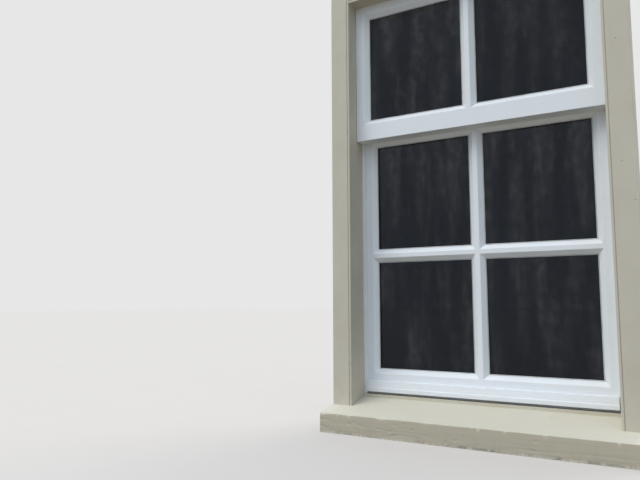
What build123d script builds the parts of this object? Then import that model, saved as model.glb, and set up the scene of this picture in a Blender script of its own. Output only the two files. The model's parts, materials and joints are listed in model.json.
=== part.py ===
from build123d import *
import os

# A timber sash window: a frame with a deep sloped sill, a fixed two-pane upper
# sash and a four-pane lower sash that slides up behind it on spiral balances.
# X runs along the sill, seen from outside +X is right. Outside faces -Y and the
# room is towards +Y. Z is up from the underside of the sill, and Y = 0 is the
# outer face of the jambs. All sizes are in millimetres.

os.makedirs("parts", exist_ok=True)

# Panes and sash members, measured across the face
pane_width = 360.0
lower_pane_height = 398.0
upper_pane_height = 403.5
bar_width = 48.0
stile_width = 49.0
bottom_rail_height = 90.0
lower_meeting_height = 54.0
upper_meeting_height = 78.0
top_rail_height = 48.5
rail_overlap = 40.0

# Sash section, measured through the sash
sash_thickness = 48.0
bevel_width = 16.0
bevel_depth = 16.0
glass_sheet = 4.0
glass_space = 10.0
glass_bite = 10.0
glass_clearance = 1.0
spacer_width = 7.0
glazing_bead_width = 12.0
glazing_bead_chamfer = 5.0
tenon_thickness = 12.0
tenon_length = 15.0
tenon_shoulder = 8.0
bar_tenon_shoulder = 2.0
inner_tenon_length = 4.0
joint_clearance = 0.2
mitre_gap = 0.2
mitre_angle = 45.0

# Frame
jamb_face = 74.0
head_face = 74.0
upper_recess = 60.0
parting_thickness = 10.0
parting_width = 10.0
parting_tongue = 6.0
staff_thickness = 18.0
staff_width = 16.0
staff_round = 8.0
staff_reveal = 4.0
edge_bead = 7.0
edge_quirk = 2.5
edge_round = 2.5
jamb_tenon_width = 36.0
jamb_tenon_thickness = 40.0
jamb_tenon_length = 30.0

# Running clearances of the lower sash
side_clearance = 3.0
face_clearance = 1.0
seat_clearance = 0.3
fixed_clearance = 1.0
bead_pass_clearance = 1.5
lift_travel = 420.0

# Sill
sill_projection = 78.0
sill_horn = 12.0
sill_front_height = 68.0
sill_rise = 17.0
sill_step_setback = 100.0
sill_step = 10.0
sill_nose_round = 3.0
drip_width = 8.0
drip_depth = 5.0
drip_setback = 18.0

# Weather bar on the foot of the lower sash
weather_bar_height = 42.0
weather_bar_lift = 6.0
weather_bar_depth = 18.0
weather_bar_lip = 17.0
weather_bar_batter = 2.5
weather_bar_round = 6.0
weather_bar_quirk = 2.0
weather_bar_drip = 5.0
weather_bar_drip_setback = 8.0

# Meeting rails, which close on a bevel
meeting_bevel_foot = 34.0
meeting_bevel_head = 8.0
meeting_gap = 0.5

# Spiral balances
tube_diameter = 15.0
tube_bore = 12.0
tube_collar = 12.0
tube_side_gap = 0.3
tube_groove_gap = 1.5
tube_head_gap = 60.0
tube_plug = 20.0
tube_lug_height = 24.0
tube_lug_width = 11.0
tube_screw_diameter = 4.5
rod_diameter = 7.0
rod_fit = 0.1
rod_engagement = 60.0
rod_seat = 12.0
foot_height = 18.0
foot_side_gap = 0.3
foot_projection = 1.5
travel_stop_gap = 2.0

# Sash fasteners: a cam lever that turns over into a flush keep
fastener_plate_length = 62.0
fastener_plate_width = 26.0
fastener_plate = 3.0
fastener_setback = 21.0
fastener_boss_diameter = 16.0
fastener_boss = 5.0
fastener_pin_diameter = 7.0
fastener_pin_fit = 0.08
fastener_screw_diameter = 4.2
fastener_screw_spacing = 44.0
lever_thickness = 5.0
lever_gap = 0.3
lever_hub_diameter = 20.0
lever_reach = 38.0
lever_tongue_width = 12.0
lever_tongue = 4.0
lever_handle_length = 46.0
lever_handle_width = 11.0
lever_handle_tip = 8.0
lever_knob_diameter = 13.0
lever_knob_height = 14.0
lever_knob_chamfer = 2.0
pin_head = 2.0
pin_head_diameter = 11.0
keep_length = 62.0
keep_height = 15.0
keep_plate = 2.0
keep_slot_length = 36.0
keep_slot_height = 6.0
keep_offset = 7.5
keep_pocket = 9.0

# Sash lifts
lift_span = 100.0
lift_projection = 34.0
lift_strap_thickness = 6.0
lift_strap_height = 10.0
lift_bend = 14.0
lift_rose_diameter = 24.0
lift_rose = 3.0
lift_drop = 40.0

# Seals
seal_width = 5.0
seal_depth = 4.0
seal_touch = 0.3
seal_inset = 3.0
seal_margin = 1.5

# Fixing holes through the jambs
fixing_diameter = 7.0
fixing_head_diameter = 11.0
fixing_head_depth = 8.0
fixing_count = 3
fixing_spacing = 600.0
fixing_setback = 8.5

# Places that follow from the sizes
sight_half = pane_width + bar_width / 2
sash_half = sight_half + stile_width
opening_half = sash_half + side_clearance
frame_half = opening_half + jamb_face
fixed_half = opening_half - fixed_clearance
shoulder_half = sight_half + bevel_width
parting_half = opening_half - parting_width
staff_half = opening_half - staff_width
wedge_half = parting_half - bead_pass_clearance
seal_near = parting_half + seal_margin
seal_far = seal_near + seal_width
seal_half = shoulder_half - seal_inset
flat_bar = bar_width - 2 * bevel_width

upper_front = upper_recess
upper_back = upper_front + sash_thickness
parting_front = upper_back
parting_back = parting_front + parting_thickness
lower_front = parting_back + face_clearance
lower_back = lower_front + sash_thickness
staff_front = lower_back + face_clearance
staff_back = staff_front + staff_thickness
frame_depth = staff_back + staff_reveal

sill_slope = sill_rise / sill_projection
sill_step_foot = sill_front_height + sill_slope * (sill_projection + sill_step_setback)
ledge = sill_step_foot + sill_step

lower_foot = ledge + seat_clearance
lower_sill_sight = lower_foot + bottom_rail_height
cross_bar_foot = lower_sill_sight + lower_pane_height
cross_bar_head = cross_bar_foot + bar_width
lower_head_sight = cross_bar_head + lower_pane_height
lower_head = lower_head_sight + lower_meeting_height
upper_foot = lower_head - rail_overlap
upper_foot_sight = upper_foot + upper_meeting_height
upper_head_sight = upper_foot_sight + upper_pane_height
upper_head = upper_head_sight + top_rail_height
head_foot = upper_head
frame_height = head_foot + head_face

lower_foot_shoulder = lower_sill_sight - bevel_width
lower_head_shoulder = lower_head_sight + bevel_width
cross_foot_shoulder = cross_bar_foot + bevel_width
cross_head_shoulder = cross_bar_head - bevel_width
upper_foot_shoulder = upper_foot_sight - bevel_width
upper_head_shoulder = upper_head_sight + bevel_width

bevel_face = upper_back + meeting_gap
bevel_foot = lower_head - meeting_bevel_foot
bevel_head = lower_head - meeting_bevel_head
bevel_slope = (bevel_head - bevel_foot) / (bevel_face - lower_front)

fixing_place = parting_back + fixing_setback
fixing_middle = (ledge + head_foot) / 2
fixing_foot = fixing_middle - fixing_spacing * (fixing_count - 1) / 2
fixing_heights = [fixing_foot + fixing_spacing * n for n in range(fixing_count)]

glass_unit = 2 * glass_sheet + glass_space
glass_half = glass_bite - glass_clearance
bead_depth = sash_thickness - bevel_depth - glass_unit
pane_centre = bar_width / 2 + pane_width / 2
lower_panes = [
    ("lower_left", -pane_centre, lower_sill_sight),
    ("lower_right", pane_centre, lower_sill_sight),
    ("middle_left", -pane_centre, cross_bar_head),
    ("middle_right", pane_centre, cross_bar_head),
]
upper_panes = [
    ("upper_left", -pane_centre, upper_foot_sight),
    ("upper_right", pane_centre, upper_foot_sight),
]

lower_middle = lower_front + sash_thickness / 2
upper_middle = upper_front + sash_thickness / 2
tube_radius = tube_diameter / 2
tube_place = opening_half - tube_side_gap - tube_radius
groove_floor = tube_place - tube_radius - tube_groove_gap
groove_width = tube_diameter + 2 * tube_groove_gap
tube_foot = lower_foot + foot_height + lift_travel + travel_stop_gap
tube_head = head_foot - tube_head_gap
rod_head = tube_foot + rod_engagement

fastener_place = pane_centre
fastener_middle = lower_front + fastener_setback
lever_foot = lower_head + fastener_plate + fastener_boss + lever_gap
lever_head = lever_foot + lever_thickness
keep_middle = lever_foot + lever_tongue / 2


def block(x0, x1, y0, y1, z0, z1):
    """A plain rectangular piece between two corners."""
    with BuildPart() as piece:
        with BuildSketch(Plane.XY.offset(z0)):
            with Locations(((x0 + x1) / 2, (y0 + y1) / 2)):
                Rectangle(x1 - x0, y1 - y0)
        extrude(amount=z1 - z0)
    return piece.part


def face_prism(points, y0, y1):
    """A piece whose outline is drawn on the window's face (X, Z) and that runs from y0 to y1."""
    with BuildPart() as piece:
        with BuildSketch(Plane.XZ.offset(-y0)):
            with BuildLine():
                Polyline(*points, close=True)
            make_face()
        extrude(amount=-(y1 - y0))
    return piece.part


def run_prism(points, x0, x1):
    """A piece with one section (Y, Z) all along X, from x0 to x1."""
    with BuildPart() as piece:
        with BuildSketch(Plane.YZ.offset(x0)):
            with BuildLine():
                Polyline(*points, close=True)
            make_face()
        extrude(amount=x1 - x0)
    return piece.part


def pane_cut(x, z, height, front):
    """What a pane takes out of its sash: the bevelled sight opening and the rebate behind it."""
    middle = z + height / 2
    glass_front = front + bevel_depth
    with BuildPart() as cut:
        with BuildSketch(Plane.XZ.offset(-front)):
            with Locations((x, middle)):
                Rectangle(pane_width + 2 * bevel_width, height + 2 * bevel_width)
        with BuildSketch(Plane.XZ.offset(-glass_front)):
            with Locations((x, middle)):
                Rectangle(pane_width, height)
        loft(ruled=True)
        with BuildSketch(Plane.XZ.offset(-glass_front)):
            with Locations((x, middle)):
                Rectangle(pane_width + 2 * glass_bite, height + 2 * glass_bite)
        extrude(amount=-(sash_thickness - bevel_depth))
    return cut.part


lower_pane_cuts = [pane_cut(x, z, lower_pane_height, lower_front) for name, x, z in lower_panes]
upper_pane_cuts = [pane_cut(x, z, upper_pane_height, upper_front) for name, x, z in upper_panes]


def sill_section():
    """The sill's section (Y, Z): front face, weathered slope, step and flat ledge."""
    front = -sill_projection
    drip = front + drip_setback
    return [
        (front, 0),
        (front, sill_front_height),
        (sill_step_setback, sill_step_foot),
        (sill_step_setback, ledge),
        (frame_depth, ledge),
        (frame_depth, 0),
        (drip + drip_width, 0),
        (drip + drip_width, drip_depth),
        (drip, drip_depth),
        (drip, 0),
    ]


with BuildPart() as sill_run:
    add(run_prism(sill_section(), -(frame_half + sill_horn), frame_half + sill_horn))
    nose = Vertex(0, -sill_projection, sill_front_height)
    fillet(sill_run.edges().filter_by(Axis.X).sort_by_distance(nose)[0], sill_nose_round)
sill_solid = sill_run.part


def jamb_tenon(side, level, way, clearance=0.0):
    """A jamb's stub tenon into the sill (way -1) or the head (way 1)."""
    centre = side * (opening_half + jamb_face / 2)
    half_x = jamb_tenon_width / 2 + clearance
    half_y = jamb_tenon_thickness / 2 + clearance
    z0, z1 = sorted((level, level + way * (jamb_tenon_length + clearance)))
    return block(centre - half_x, centre + half_x, lower_middle - half_y, lower_middle + half_y, z0, z1)


def head_rail_outline(z_sight, z_head):
    """A rail above its panes; its moulding is mitred into those of the stiles."""
    return [
        (-sight_half, z_sight),
        (sight_half, z_sight),
        (shoulder_half, z_sight + bevel_width),
        (shoulder_half, z_head),
        (-shoulder_half, z_head),
        (-shoulder_half, z_sight + bevel_width),
    ]


def foot_rail_outline(z_foot, z_sight):
    """A rail below its panes; its moulding is mitred into those of the stiles."""
    return [
        (-shoulder_half, z_foot),
        (shoulder_half, z_foot),
        (shoulder_half, z_sight - bevel_width),
        (sight_half, z_sight),
        (-sight_half, z_sight),
        (-shoulder_half, z_sight - bevel_width),
    ]


def upright_outline(z_low, z_high):
    """The upright glazing bar, pointed where its bevels meet those of the rails."""
    half = bar_width / 2
    flat = flat_bar / 2
    return [
        (-half, z_low),
        (-flat, z_low - bevel_width),
        (flat, z_low - bevel_width),
        (half, z_low),
        (half, z_high),
        (flat, z_high + bevel_width),
        (-flat, z_high + bevel_width),
        (-half, z_high),
    ]


def cross_outline(side):
    """A cross bar between a stile and the upright bar, pointed where the bevels meet."""
    near = bar_width / 2
    return [
        (side * near, cross_bar_foot),
        (side * (near - bevel_width), cross_foot_shoulder),
        (side * (near - bevel_width), cross_head_shoulder),
        (side * near, cross_bar_head),
        (side * sight_half, cross_bar_head),
        (side * shoulder_half, cross_head_shoulder),
        (side * shoulder_half, cross_foot_shoulder),
        (side * sight_half, cross_bar_foot),
    ]


def side_tenon(start, side, z_low, z_high, middle, clearance=0.0):
    """A tenon along X, away from its shoulder, between two heights."""
    half = tenon_thickness / 2 + clearance
    x0, x1 = sorted((start, start + side * (tenon_length + clearance)))
    return block(x0, x1, middle - half, middle + half, z_low - clearance, z_high + clearance)


def end_tenon(z_shoulder, way, middle, clearance=0.0):
    """A tenon on an end of the upright bar, up or down from its shoulder."""
    half = tenon_thickness / 2 + clearance
    wide = flat_bar / 2 - bar_tenon_shoulder + clearance
    z0, z1 = sorted((z_shoulder, z_shoulder + way * (tenon_length + clearance)))
    return block(-wide, wide, middle - half, middle + half, z0, z1)


def save(piece, name):
    """Labels a finished piece and writes it under its own name."""
    piece.part.label = name
    export_step(piece.part, f"parts/{name}.step")


sides = {"left": -1, "right": 1}

# Lower sash: the outlines of its members, and the heights of their tenons
lower_foot_rail = face_prism(foot_rail_outline(lower_foot, lower_sill_sight), lower_front, lower_back)
lower_head_rail = face_prism(head_rail_outline(lower_head_sight, lower_head), lower_front, lower_back)
lower_upright = face_prism(upright_outline(lower_sill_sight, lower_head_sight), lower_front, lower_back)
lower_cross = {side: face_prism(cross_outline(side), lower_front, lower_back) for side in (-1, 1)}

lower_tenon_heights = {
    "foot": (lower_foot + tenon_shoulder, lower_foot_shoulder - tenon_shoulder),
    "cross": (cross_foot_shoulder + bar_tenon_shoulder, cross_head_shoulder - bar_tenon_shoulder),
    "head": (lower_head_shoulder + tenon_shoulder, lower_head - tenon_shoulder),
}


def lower_tenon(level, side, clearance=0.0):
    """A tenon of one rail or cross bar of the lower sash where it enters a stile."""
    z_low, z_high = lower_tenon_heights[level]
    return side_tenon(side * shoulder_half, side, z_low, z_high, lower_middle, clearance)


def cross_inner_tenon(side, clearance=0.0):
    """A cross bar's tenon where it enters the upright bar."""
    z_low, z_high = lower_tenon_heights["cross"]
    half = tenon_thickness / 2 + clearance
    root = bar_width / 2 - bevel_width
    x0, x1 = sorted((side * root, side * (root - inner_tenon_length - clearance)))
    return block(x0, x1, lower_middle - half, lower_middle + half, z_low - clearance, z_high + clearance)


# Lower sash stiles, mortised for the rails and grooved for the balances
for hand, side in sides.items():
    x0, x1 = sorted((side * sight_half, side * sash_half))
    g0, g1 = sorted((side * groove_floor, side * opening_half))
    with BuildPart() as lower_stile:
        add(block(x0, x1, lower_front, lower_back, lower_foot, lower_head))
        add(lower_foot_rail, mode=Mode.SUBTRACT)
        add(lower_head_rail, mode=Mode.SUBTRACT)
        add(lower_cross[side], mode=Mode.SUBTRACT)
        add(block(g0, g1, lower_middle - groove_width / 2, lower_middle + groove_width / 2,
                  lower_foot, lower_head), mode=Mode.SUBTRACT)
        for level in lower_tenon_heights:
            add(lower_tenon(level, side, joint_clearance), mode=Mode.SUBTRACT)
        for cut in lower_pane_cuts:
            add(cut, mode=Mode.SUBTRACT)
    save(lower_stile, f"lower_{hand}_stile")

# Lower sash bottom rail
with BuildPart() as lower_bottom_rail:
    add(lower_foot_rail)
    for side in (-1, 1):
        add(lower_tenon("foot", side))
    add(lower_upright, mode=Mode.SUBTRACT)
    add(end_tenon(lower_foot_shoulder, -1, lower_middle, joint_clearance), mode=Mode.SUBTRACT)
    for cut in lower_pane_cuts:
        add(cut, mode=Mode.SUBTRACT)
    with BuildSketch(Plane.YZ.offset(-seal_half)):
        with Locations((lower_back - seal_inset - seal_width / 2, lower_foot)):
            Rectangle(seal_width, 2 * seal_depth)
    extrude(amount=2 * seal_half, mode=Mode.SUBTRACT)
save(lower_bottom_rail, "lower_bottom_rail")

# Lower meeting rail, which leans over the gap and closes on the bevel of the upper one
with BuildPart() as lower_meeting_rail:
    add(lower_head_rail)
    for side in (-1, 1):
        add(lower_tenon("head", side))
    add(lower_upright, mode=Mode.SUBTRACT)
    add(end_tenon(lower_head_shoulder, 1, lower_middle, joint_clearance), mode=Mode.SUBTRACT)
    for cut in lower_pane_cuts:
        add(cut, mode=Mode.SUBTRACT)
    wedge = [
        (lower_front, bevel_foot),
        (lower_front, lower_head),
        (bevel_face, lower_head),
        (bevel_face, bevel_head),
    ]
    add(run_prism(wedge, -wedge_half, wedge_half))
save(lower_meeting_rail, "lower_meeting_rail")

# Glazing bars of the lower sash
with BuildPart() as lower_upright_bar:
    add(lower_upright)
    add(end_tenon(lower_foot_shoulder, -1, lower_middle))
    add(end_tenon(lower_head_shoulder, 1, lower_middle))
    for side in (-1, 1):
        add(lower_cross[side], mode=Mode.SUBTRACT)
        add(cross_inner_tenon(side, joint_clearance), mode=Mode.SUBTRACT)
    for cut in lower_pane_cuts:
        add(cut, mode=Mode.SUBTRACT)
save(lower_upright_bar, "lower_upright_bar")

for hand, side in sides.items():
    with BuildPart() as cross_bar:
        add(lower_cross[side])
        add(lower_tenon("cross", side))
        add(cross_inner_tenon(side))
        for cut in lower_pane_cuts:
            add(cut, mode=Mode.SUBTRACT)
    save(cross_bar, f"lower_{hand}_cross_bar")

# Weather bar across the foot of the lower sash, with a drip groove under it
weather_foot = ledge + weather_bar_lift
weather_head = weather_foot + weather_bar_height
weather_front = lower_front - weather_bar_depth
weather_step = weather_foot + weather_bar_lip
weather_top_front = weather_front + weather_bar_quirk + weather_bar_batter
with BuildPart() as weather_bar:
    with BuildSketch(Plane.YZ.offset(-wedge_half)) as section:
        with BuildLine():
            Polyline(
                (lower_front, weather_foot),
                (weather_front, weather_foot),
                (weather_front, weather_step),
                (weather_front + weather_bar_quirk, weather_step + weather_bar_quirk),
                (weather_top_front, weather_head),
                (lower_front, weather_head),
                close=True,
            )
        make_face()
        corner = Vertex(-wedge_half, weather_top_front, weather_head)
        fillet(section.vertices().sort_by_distance(corner)[0], weather_bar_round)
        with Locations((weather_front + weather_bar_drip_setback, weather_foot)):
            Rectangle(weather_bar_drip, weather_bar_drip, mode=Mode.SUBTRACT)
    extrude(amount=2 * wedge_half)
save(weather_bar, "weather_bar")

# Rubber seal under the bottom rail
with BuildPart() as bottom_seal:
    with BuildSketch(Plane.YZ.offset(-seal_half)):
        with Locations((lower_back - seal_inset - seal_width / 2, lower_foot + seal_depth / 2)):
            Rectangle(seal_width - 2 * joint_clearance, seal_depth)
    extrude(amount=2 * seal_half)
save(bottom_seal, "bottom_rail_seal")

# Upper sash, fixed against the head and the parting beads
upper_foot_rail = face_prism(foot_rail_outline(upper_foot, upper_foot_sight), upper_front, upper_back)
upper_head_rail = face_prism(head_rail_outline(upper_head_sight, upper_head), upper_front, upper_back)
upper_upright = face_prism(upright_outline(upper_foot_sight, upper_head_sight), upper_front, upper_back)
upper_tenon_heights = {
    "foot": (upper_foot + tenon_shoulder, upper_foot_shoulder - tenon_shoulder),
    "head": (upper_head_shoulder + tenon_shoulder, upper_head - tenon_shoulder),
}


def upper_tenon(level, side, clearance=0.0):
    """A tenon of one rail of the upper sash where it enters a stile."""
    z_low, z_high = upper_tenon_heights[level]
    return side_tenon(side * shoulder_half, side, z_low, z_high, upper_middle, clearance)


for hand, side in sides.items():
    x0, x1 = sorted((side * sight_half, side * fixed_half))
    with BuildPart() as upper_stile:
        add(block(x0, x1, upper_front, upper_back, upper_foot, upper_head))
        add(upper_foot_rail, mode=Mode.SUBTRACT)
        add(upper_head_rail, mode=Mode.SUBTRACT)
        for level in upper_tenon_heights:
            add(upper_tenon(level, side, joint_clearance), mode=Mode.SUBTRACT)
        for cut in upper_pane_cuts:
            add(cut, mode=Mode.SUBTRACT)
    save(upper_stile, f"upper_{hand}_stile")

with BuildPart() as upper_top_rail:
    add(upper_head_rail)
    for side in (-1, 1):
        add(upper_tenon("head", side))
    add(upper_upright, mode=Mode.SUBTRACT)
    add(end_tenon(upper_head_shoulder, 1, upper_middle, joint_clearance), mode=Mode.SUBTRACT)
    for cut in upper_pane_cuts:
        add(cut, mode=Mode.SUBTRACT)
save(upper_top_rail, "upper_top_rail")

# The upper meeting rail carries the other half of the bevel, and the flush keeps
wedge_back = lower_front - meeting_gap
wedge_top_at_back = bevel_foot + bevel_slope * (wedge_back - lower_front) - meeting_gap
wedge_top_at_face = bevel_foot + bevel_slope * (upper_back - lower_front) - meeting_gap
with BuildPart() as upper_meeting_rail:
    add(upper_foot_rail)
    for side in (-1, 1):
        add(upper_tenon("foot", side))
    add(upper_upright, mode=Mode.SUBTRACT)
    add(end_tenon(upper_foot_shoulder, -1, upper_middle, joint_clearance), mode=Mode.SUBTRACT)
    for cut in upper_pane_cuts:
        add(cut, mode=Mode.SUBTRACT)
    wedge = [
        (upper_back, upper_foot),
        (wedge_back, upper_foot),
        (wedge_back, wedge_top_at_back),
        (upper_back, wedge_top_at_face),
    ]
    add(run_prism(wedge, -wedge_half, wedge_half))
    for side in (-1, 1):
        keep_x = side * (fastener_place - keep_offset)
        with BuildSketch(Plane.XZ.offset(-upper_back)):
            with Locations((keep_x, keep_middle)):
                Rectangle(keep_length, keep_height)
        extrude(amount=keep_plate, mode=Mode.SUBTRACT)
        with BuildSketch(Plane.XZ.offset(-upper_back)):
            with Locations((keep_x, keep_middle)):
                Rectangle(keep_slot_length, keep_slot_height)
        extrude(amount=keep_pocket, mode=Mode.SUBTRACT)
save(upper_meeting_rail, "upper_meeting_rail")

with BuildPart() as upper_upright_bar:
    add(upper_upright)
    add(end_tenon(upper_foot_shoulder, -1, upper_middle))
    add(end_tenon(upper_head_shoulder, 1, upper_middle))
    for cut in upper_pane_cuts:
        add(cut, mode=Mode.SUBTRACT)
save(upper_upright_bar, "upper_upright_bar")

# Double glazing: two sheets, the spacer between them and the mitred beads behind
panes = [(name, x, z, lower_pane_height, lower_front) for name, x, z in lower_panes]
panes += [(name, x, z, upper_pane_height, upper_front) for name, x, z in upper_panes]
for name, x, z, height, front in panes:
    middle = z + height / 2
    glass_front = front + bevel_depth
    glass_width = pane_width + 2 * glass_half
    glass_height = height + 2 * glass_half
    with BuildPart() as glass:
        for sheet_front in (glass_front, glass_front + glass_sheet + glass_space):
            with BuildSketch(Plane.XZ.offset(-sheet_front)):
                with Locations((x, middle)):
                    Rectangle(glass_width, glass_height)
            extrude(amount=-glass_sheet)
    save(glass, f"{name}_glass")

    with BuildPart() as spacer:
        with BuildSketch(Plane.XZ.offset(-(glass_front + glass_sheet))):
            with Locations((x, middle)):
                Rectangle(glass_width, glass_height)
                offset(amount=-spacer_width, kind=Kind.INTERSECTION, mode=Mode.SUBTRACT)
        extrude(amount=-glass_space)
    save(spacer, f"{name}_spacer")

    bead_front = glass_front + glass_unit
    bead_wide = pane_width / 2 + glass_bite
    bead_tall = height / 2 + glass_bite
    with BuildPart() as beads:
        with BuildSketch(Plane.XZ.offset(-bead_front)):
            with Locations((x, middle)):
                Rectangle(2 * bead_wide, 2 * bead_tall)
        extrude(amount=-bead_depth)
        straight = bead_depth - glazing_bead_chamfer
        with BuildSketch(Plane.XZ.offset(-bead_front)):
            with Locations((x, middle)):
                Rectangle(2 * (bead_wide - glazing_bead_width), 2 * (bead_tall - glazing_bead_width))
        extrude(amount=-straight, mode=Mode.SUBTRACT)
        with BuildSketch(Plane.XZ.offset(-(bead_front + straight))):
            with Locations((x, middle)):
                Rectangle(2 * (bead_wide - glazing_bead_width), 2 * (bead_tall - glazing_bead_width))
        with BuildSketch(Plane.XZ.offset(-(bead_front + bead_depth))):
            with Locations((x, middle)):
                Rectangle(2 * (bead_wide - glazing_bead_width + glazing_bead_chamfer),
                          2 * (bead_tall - glazing_bead_width + glazing_bead_chamfer))
        loft(ruled=True, mode=Mode.SUBTRACT)
        corner_x = bead_wide - glazing_bead_width / 2
        corner_z = bead_tall - glazing_bead_width / 2
        for across in (-1, 1):
            for up in (-1, 1):
                with BuildSketch(Plane.XZ.offset(-bead_front)):
                    with Locations((x + across * corner_x, middle + up * corner_z)):
                        Rectangle(2 * glazing_bead_width, mitre_gap, rotation=across * up * mitre_angle)
                extrude(amount=-bead_depth, mode=Mode.SUBTRACT)
    save(beads, f"{name}_beads")

# Jambs: the inner face is flush from front to back, with a quirked bead on its outer edge
for hand, side in sides.items():
    inner = side * opening_half
    outer = side * frame_half
    with BuildPart() as jamb:
        with BuildSketch() as plan:
            with Locations(((inner + outer) / 2, frame_depth / 2)):
                Rectangle(jamb_face, frame_depth)
            corner = plan.vertices().sort_by_distance(Vertex(inner, 0, 0))[0]
            fillet(corner, edge_round)
            with Locations((inner + side * (edge_bead + edge_quirk / 2), edge_quirk / 2)):
                Rectangle(edge_quirk, edge_quirk, mode=Mode.SUBTRACT)
            with Locations((inner + side * parting_tongue / 2, parting_front + parting_thickness / 2)):
                Rectangle(parting_tongue, parting_thickness, mode=Mode.SUBTRACT)
        extrude(amount=head_foot)
        add(sill_solid, mode=Mode.SUBTRACT)
        add(jamb_tenon(side, ledge, -1))
        add(jamb_tenon(side, head_foot, 1))
        for level in fixing_heights:
            with BuildSketch(Plane.YZ.offset(inner)):
                with Locations((fixing_place, level)):
                    Circle(fixing_diameter / 2)
            extrude(amount=side * jamb_face, mode=Mode.SUBTRACT)
            with BuildSketch(Plane.YZ.offset(inner)):
                with Locations((fixing_place, level)):
                    Circle(fixing_head_diameter / 2)
            extrude(amount=side * fixing_head_depth, mode=Mode.SUBTRACT)
    save(jamb, f"{hand}_jamb")

# Sill, with the horns that run past the jambs in front of the wall
with BuildPart() as sill:
    add(sill_solid)
    for side in (-1, 1):
        h0, h1 = sorted((side * frame_half, side * (frame_half + sill_horn)))
        add(block(h0, h1, 0, frame_depth, 0, ledge), mode=Mode.SUBTRACT)
        add(jamb_tenon(side, ledge, -1, joint_clearance), mode=Mode.SUBTRACT)
save(sill, "sill")

# Head across the tops of the jambs
with BuildPart() as head:
    add(block(-frame_half, frame_half, 0, frame_depth, head_foot, frame_height))
    for side in (-1, 1):
        add(jamb_tenon(side, head_foot, 1, joint_clearance), mode=Mode.SUBTRACT)
    groove_head = head_foot + parting_tongue
    add(block(-parting_half, parting_half, parting_front, parting_back, head_foot, groove_head),
        mode=Mode.SUBTRACT)
    quirk_half = opening_half + edge_bead + edge_quirk
    quirk_foot = head_foot + edge_bead
    add(block(-quirk_half, quirk_half, 0, edge_quirk, quirk_foot, quirk_foot + edge_quirk),
        mode=Mode.SUBTRACT)
    for side in (-1, 1):
        q0, q1 = sorted((side * (quirk_half - edge_quirk), side * quirk_half))
        add(block(q0, q1, 0, edge_quirk, head_foot, quirk_foot), mode=Mode.SUBTRACT)
save(head, "head")

# Parting beads, tongued into the frame between the two sashes
for hand, side in sides.items():
    b0, b1 = sorted((side * parting_half, side * (opening_half + parting_tongue)))
    s0, s1 = sorted((side * seal_near, side * seal_far))
    with BuildPart() as parting_bead:
        add(block(b0, b1, parting_front, parting_back, ledge, head_foot))
        add(block(s0, s1, parting_back - seal_depth, parting_back, ledge, head_foot), mode=Mode.SUBTRACT)
    save(parting_bead, f"{hand}_parting_bead")

with BuildPart() as head_parting_bead:
    add(block(-parting_half, parting_half, parting_front, parting_back,
              head_foot - parting_width, head_foot + parting_tongue))
save(head_parting_bead, "head_parting_bead")

# Staff beads on the room side of the lower sash, rounded on the room edge
for hand, side in sides.items():
    near = side * staff_half
    far = side * opening_half
    with BuildPart() as staff_bead:
        with BuildSketch(Plane.XY.offset(ledge)) as plan:
            with Locations(((near + far) / 2, (staff_front + staff_back) / 2)):
                Rectangle(staff_width, staff_thickness)
            corner = plan.vertices().sort_by_distance(Vertex(near, staff_back, 0))[0]
            fillet(corner, staff_round)
            with Locations((side * (seal_near + seal_width / 2), staff_front + seal_depth / 2)):
                Rectangle(seal_width, seal_depth, mode=Mode.SUBTRACT)
        extrude(amount=head_foot - ledge)
    save(staff_bead, f"{hand}_staff_bead")

for name, rail_side in (("head_staff_bead", 1), ("sill_staff_bead", -1)):
    z_seat = head_foot if rail_side > 0 else ledge
    z_edge = z_seat - rail_side * staff_width
    with BuildPart() as staff_rail:
        with BuildSketch(Plane.YZ.offset(-staff_half)) as section:
            with Locations(((staff_front + staff_back) / 2, (z_seat + z_edge) / 2)):
                Rectangle(staff_thickness, staff_width)
            corner = section.vertices().sort_by_distance(Vertex(-staff_half, staff_back, z_edge))[0]
            fillet(corner, staff_round)
        extrude(amount=2 * staff_half)
    save(staff_rail, name)

# Pile seals in the beads, which brush the faces of the lower sash
with BuildPart() as track_seals:
    for side in (-1, 1):
        s0, s1 = sorted((side * (seal_near + joint_clearance), side * (seal_far - joint_clearance)))
        add(block(s0, s1, parting_back - seal_depth, lower_front - seal_touch, ledge, head_foot))
        add(block(s0, s1, lower_back + seal_touch, staff_front + seal_depth, ledge, head_foot))
save(track_seals, "track_seals")

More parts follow.
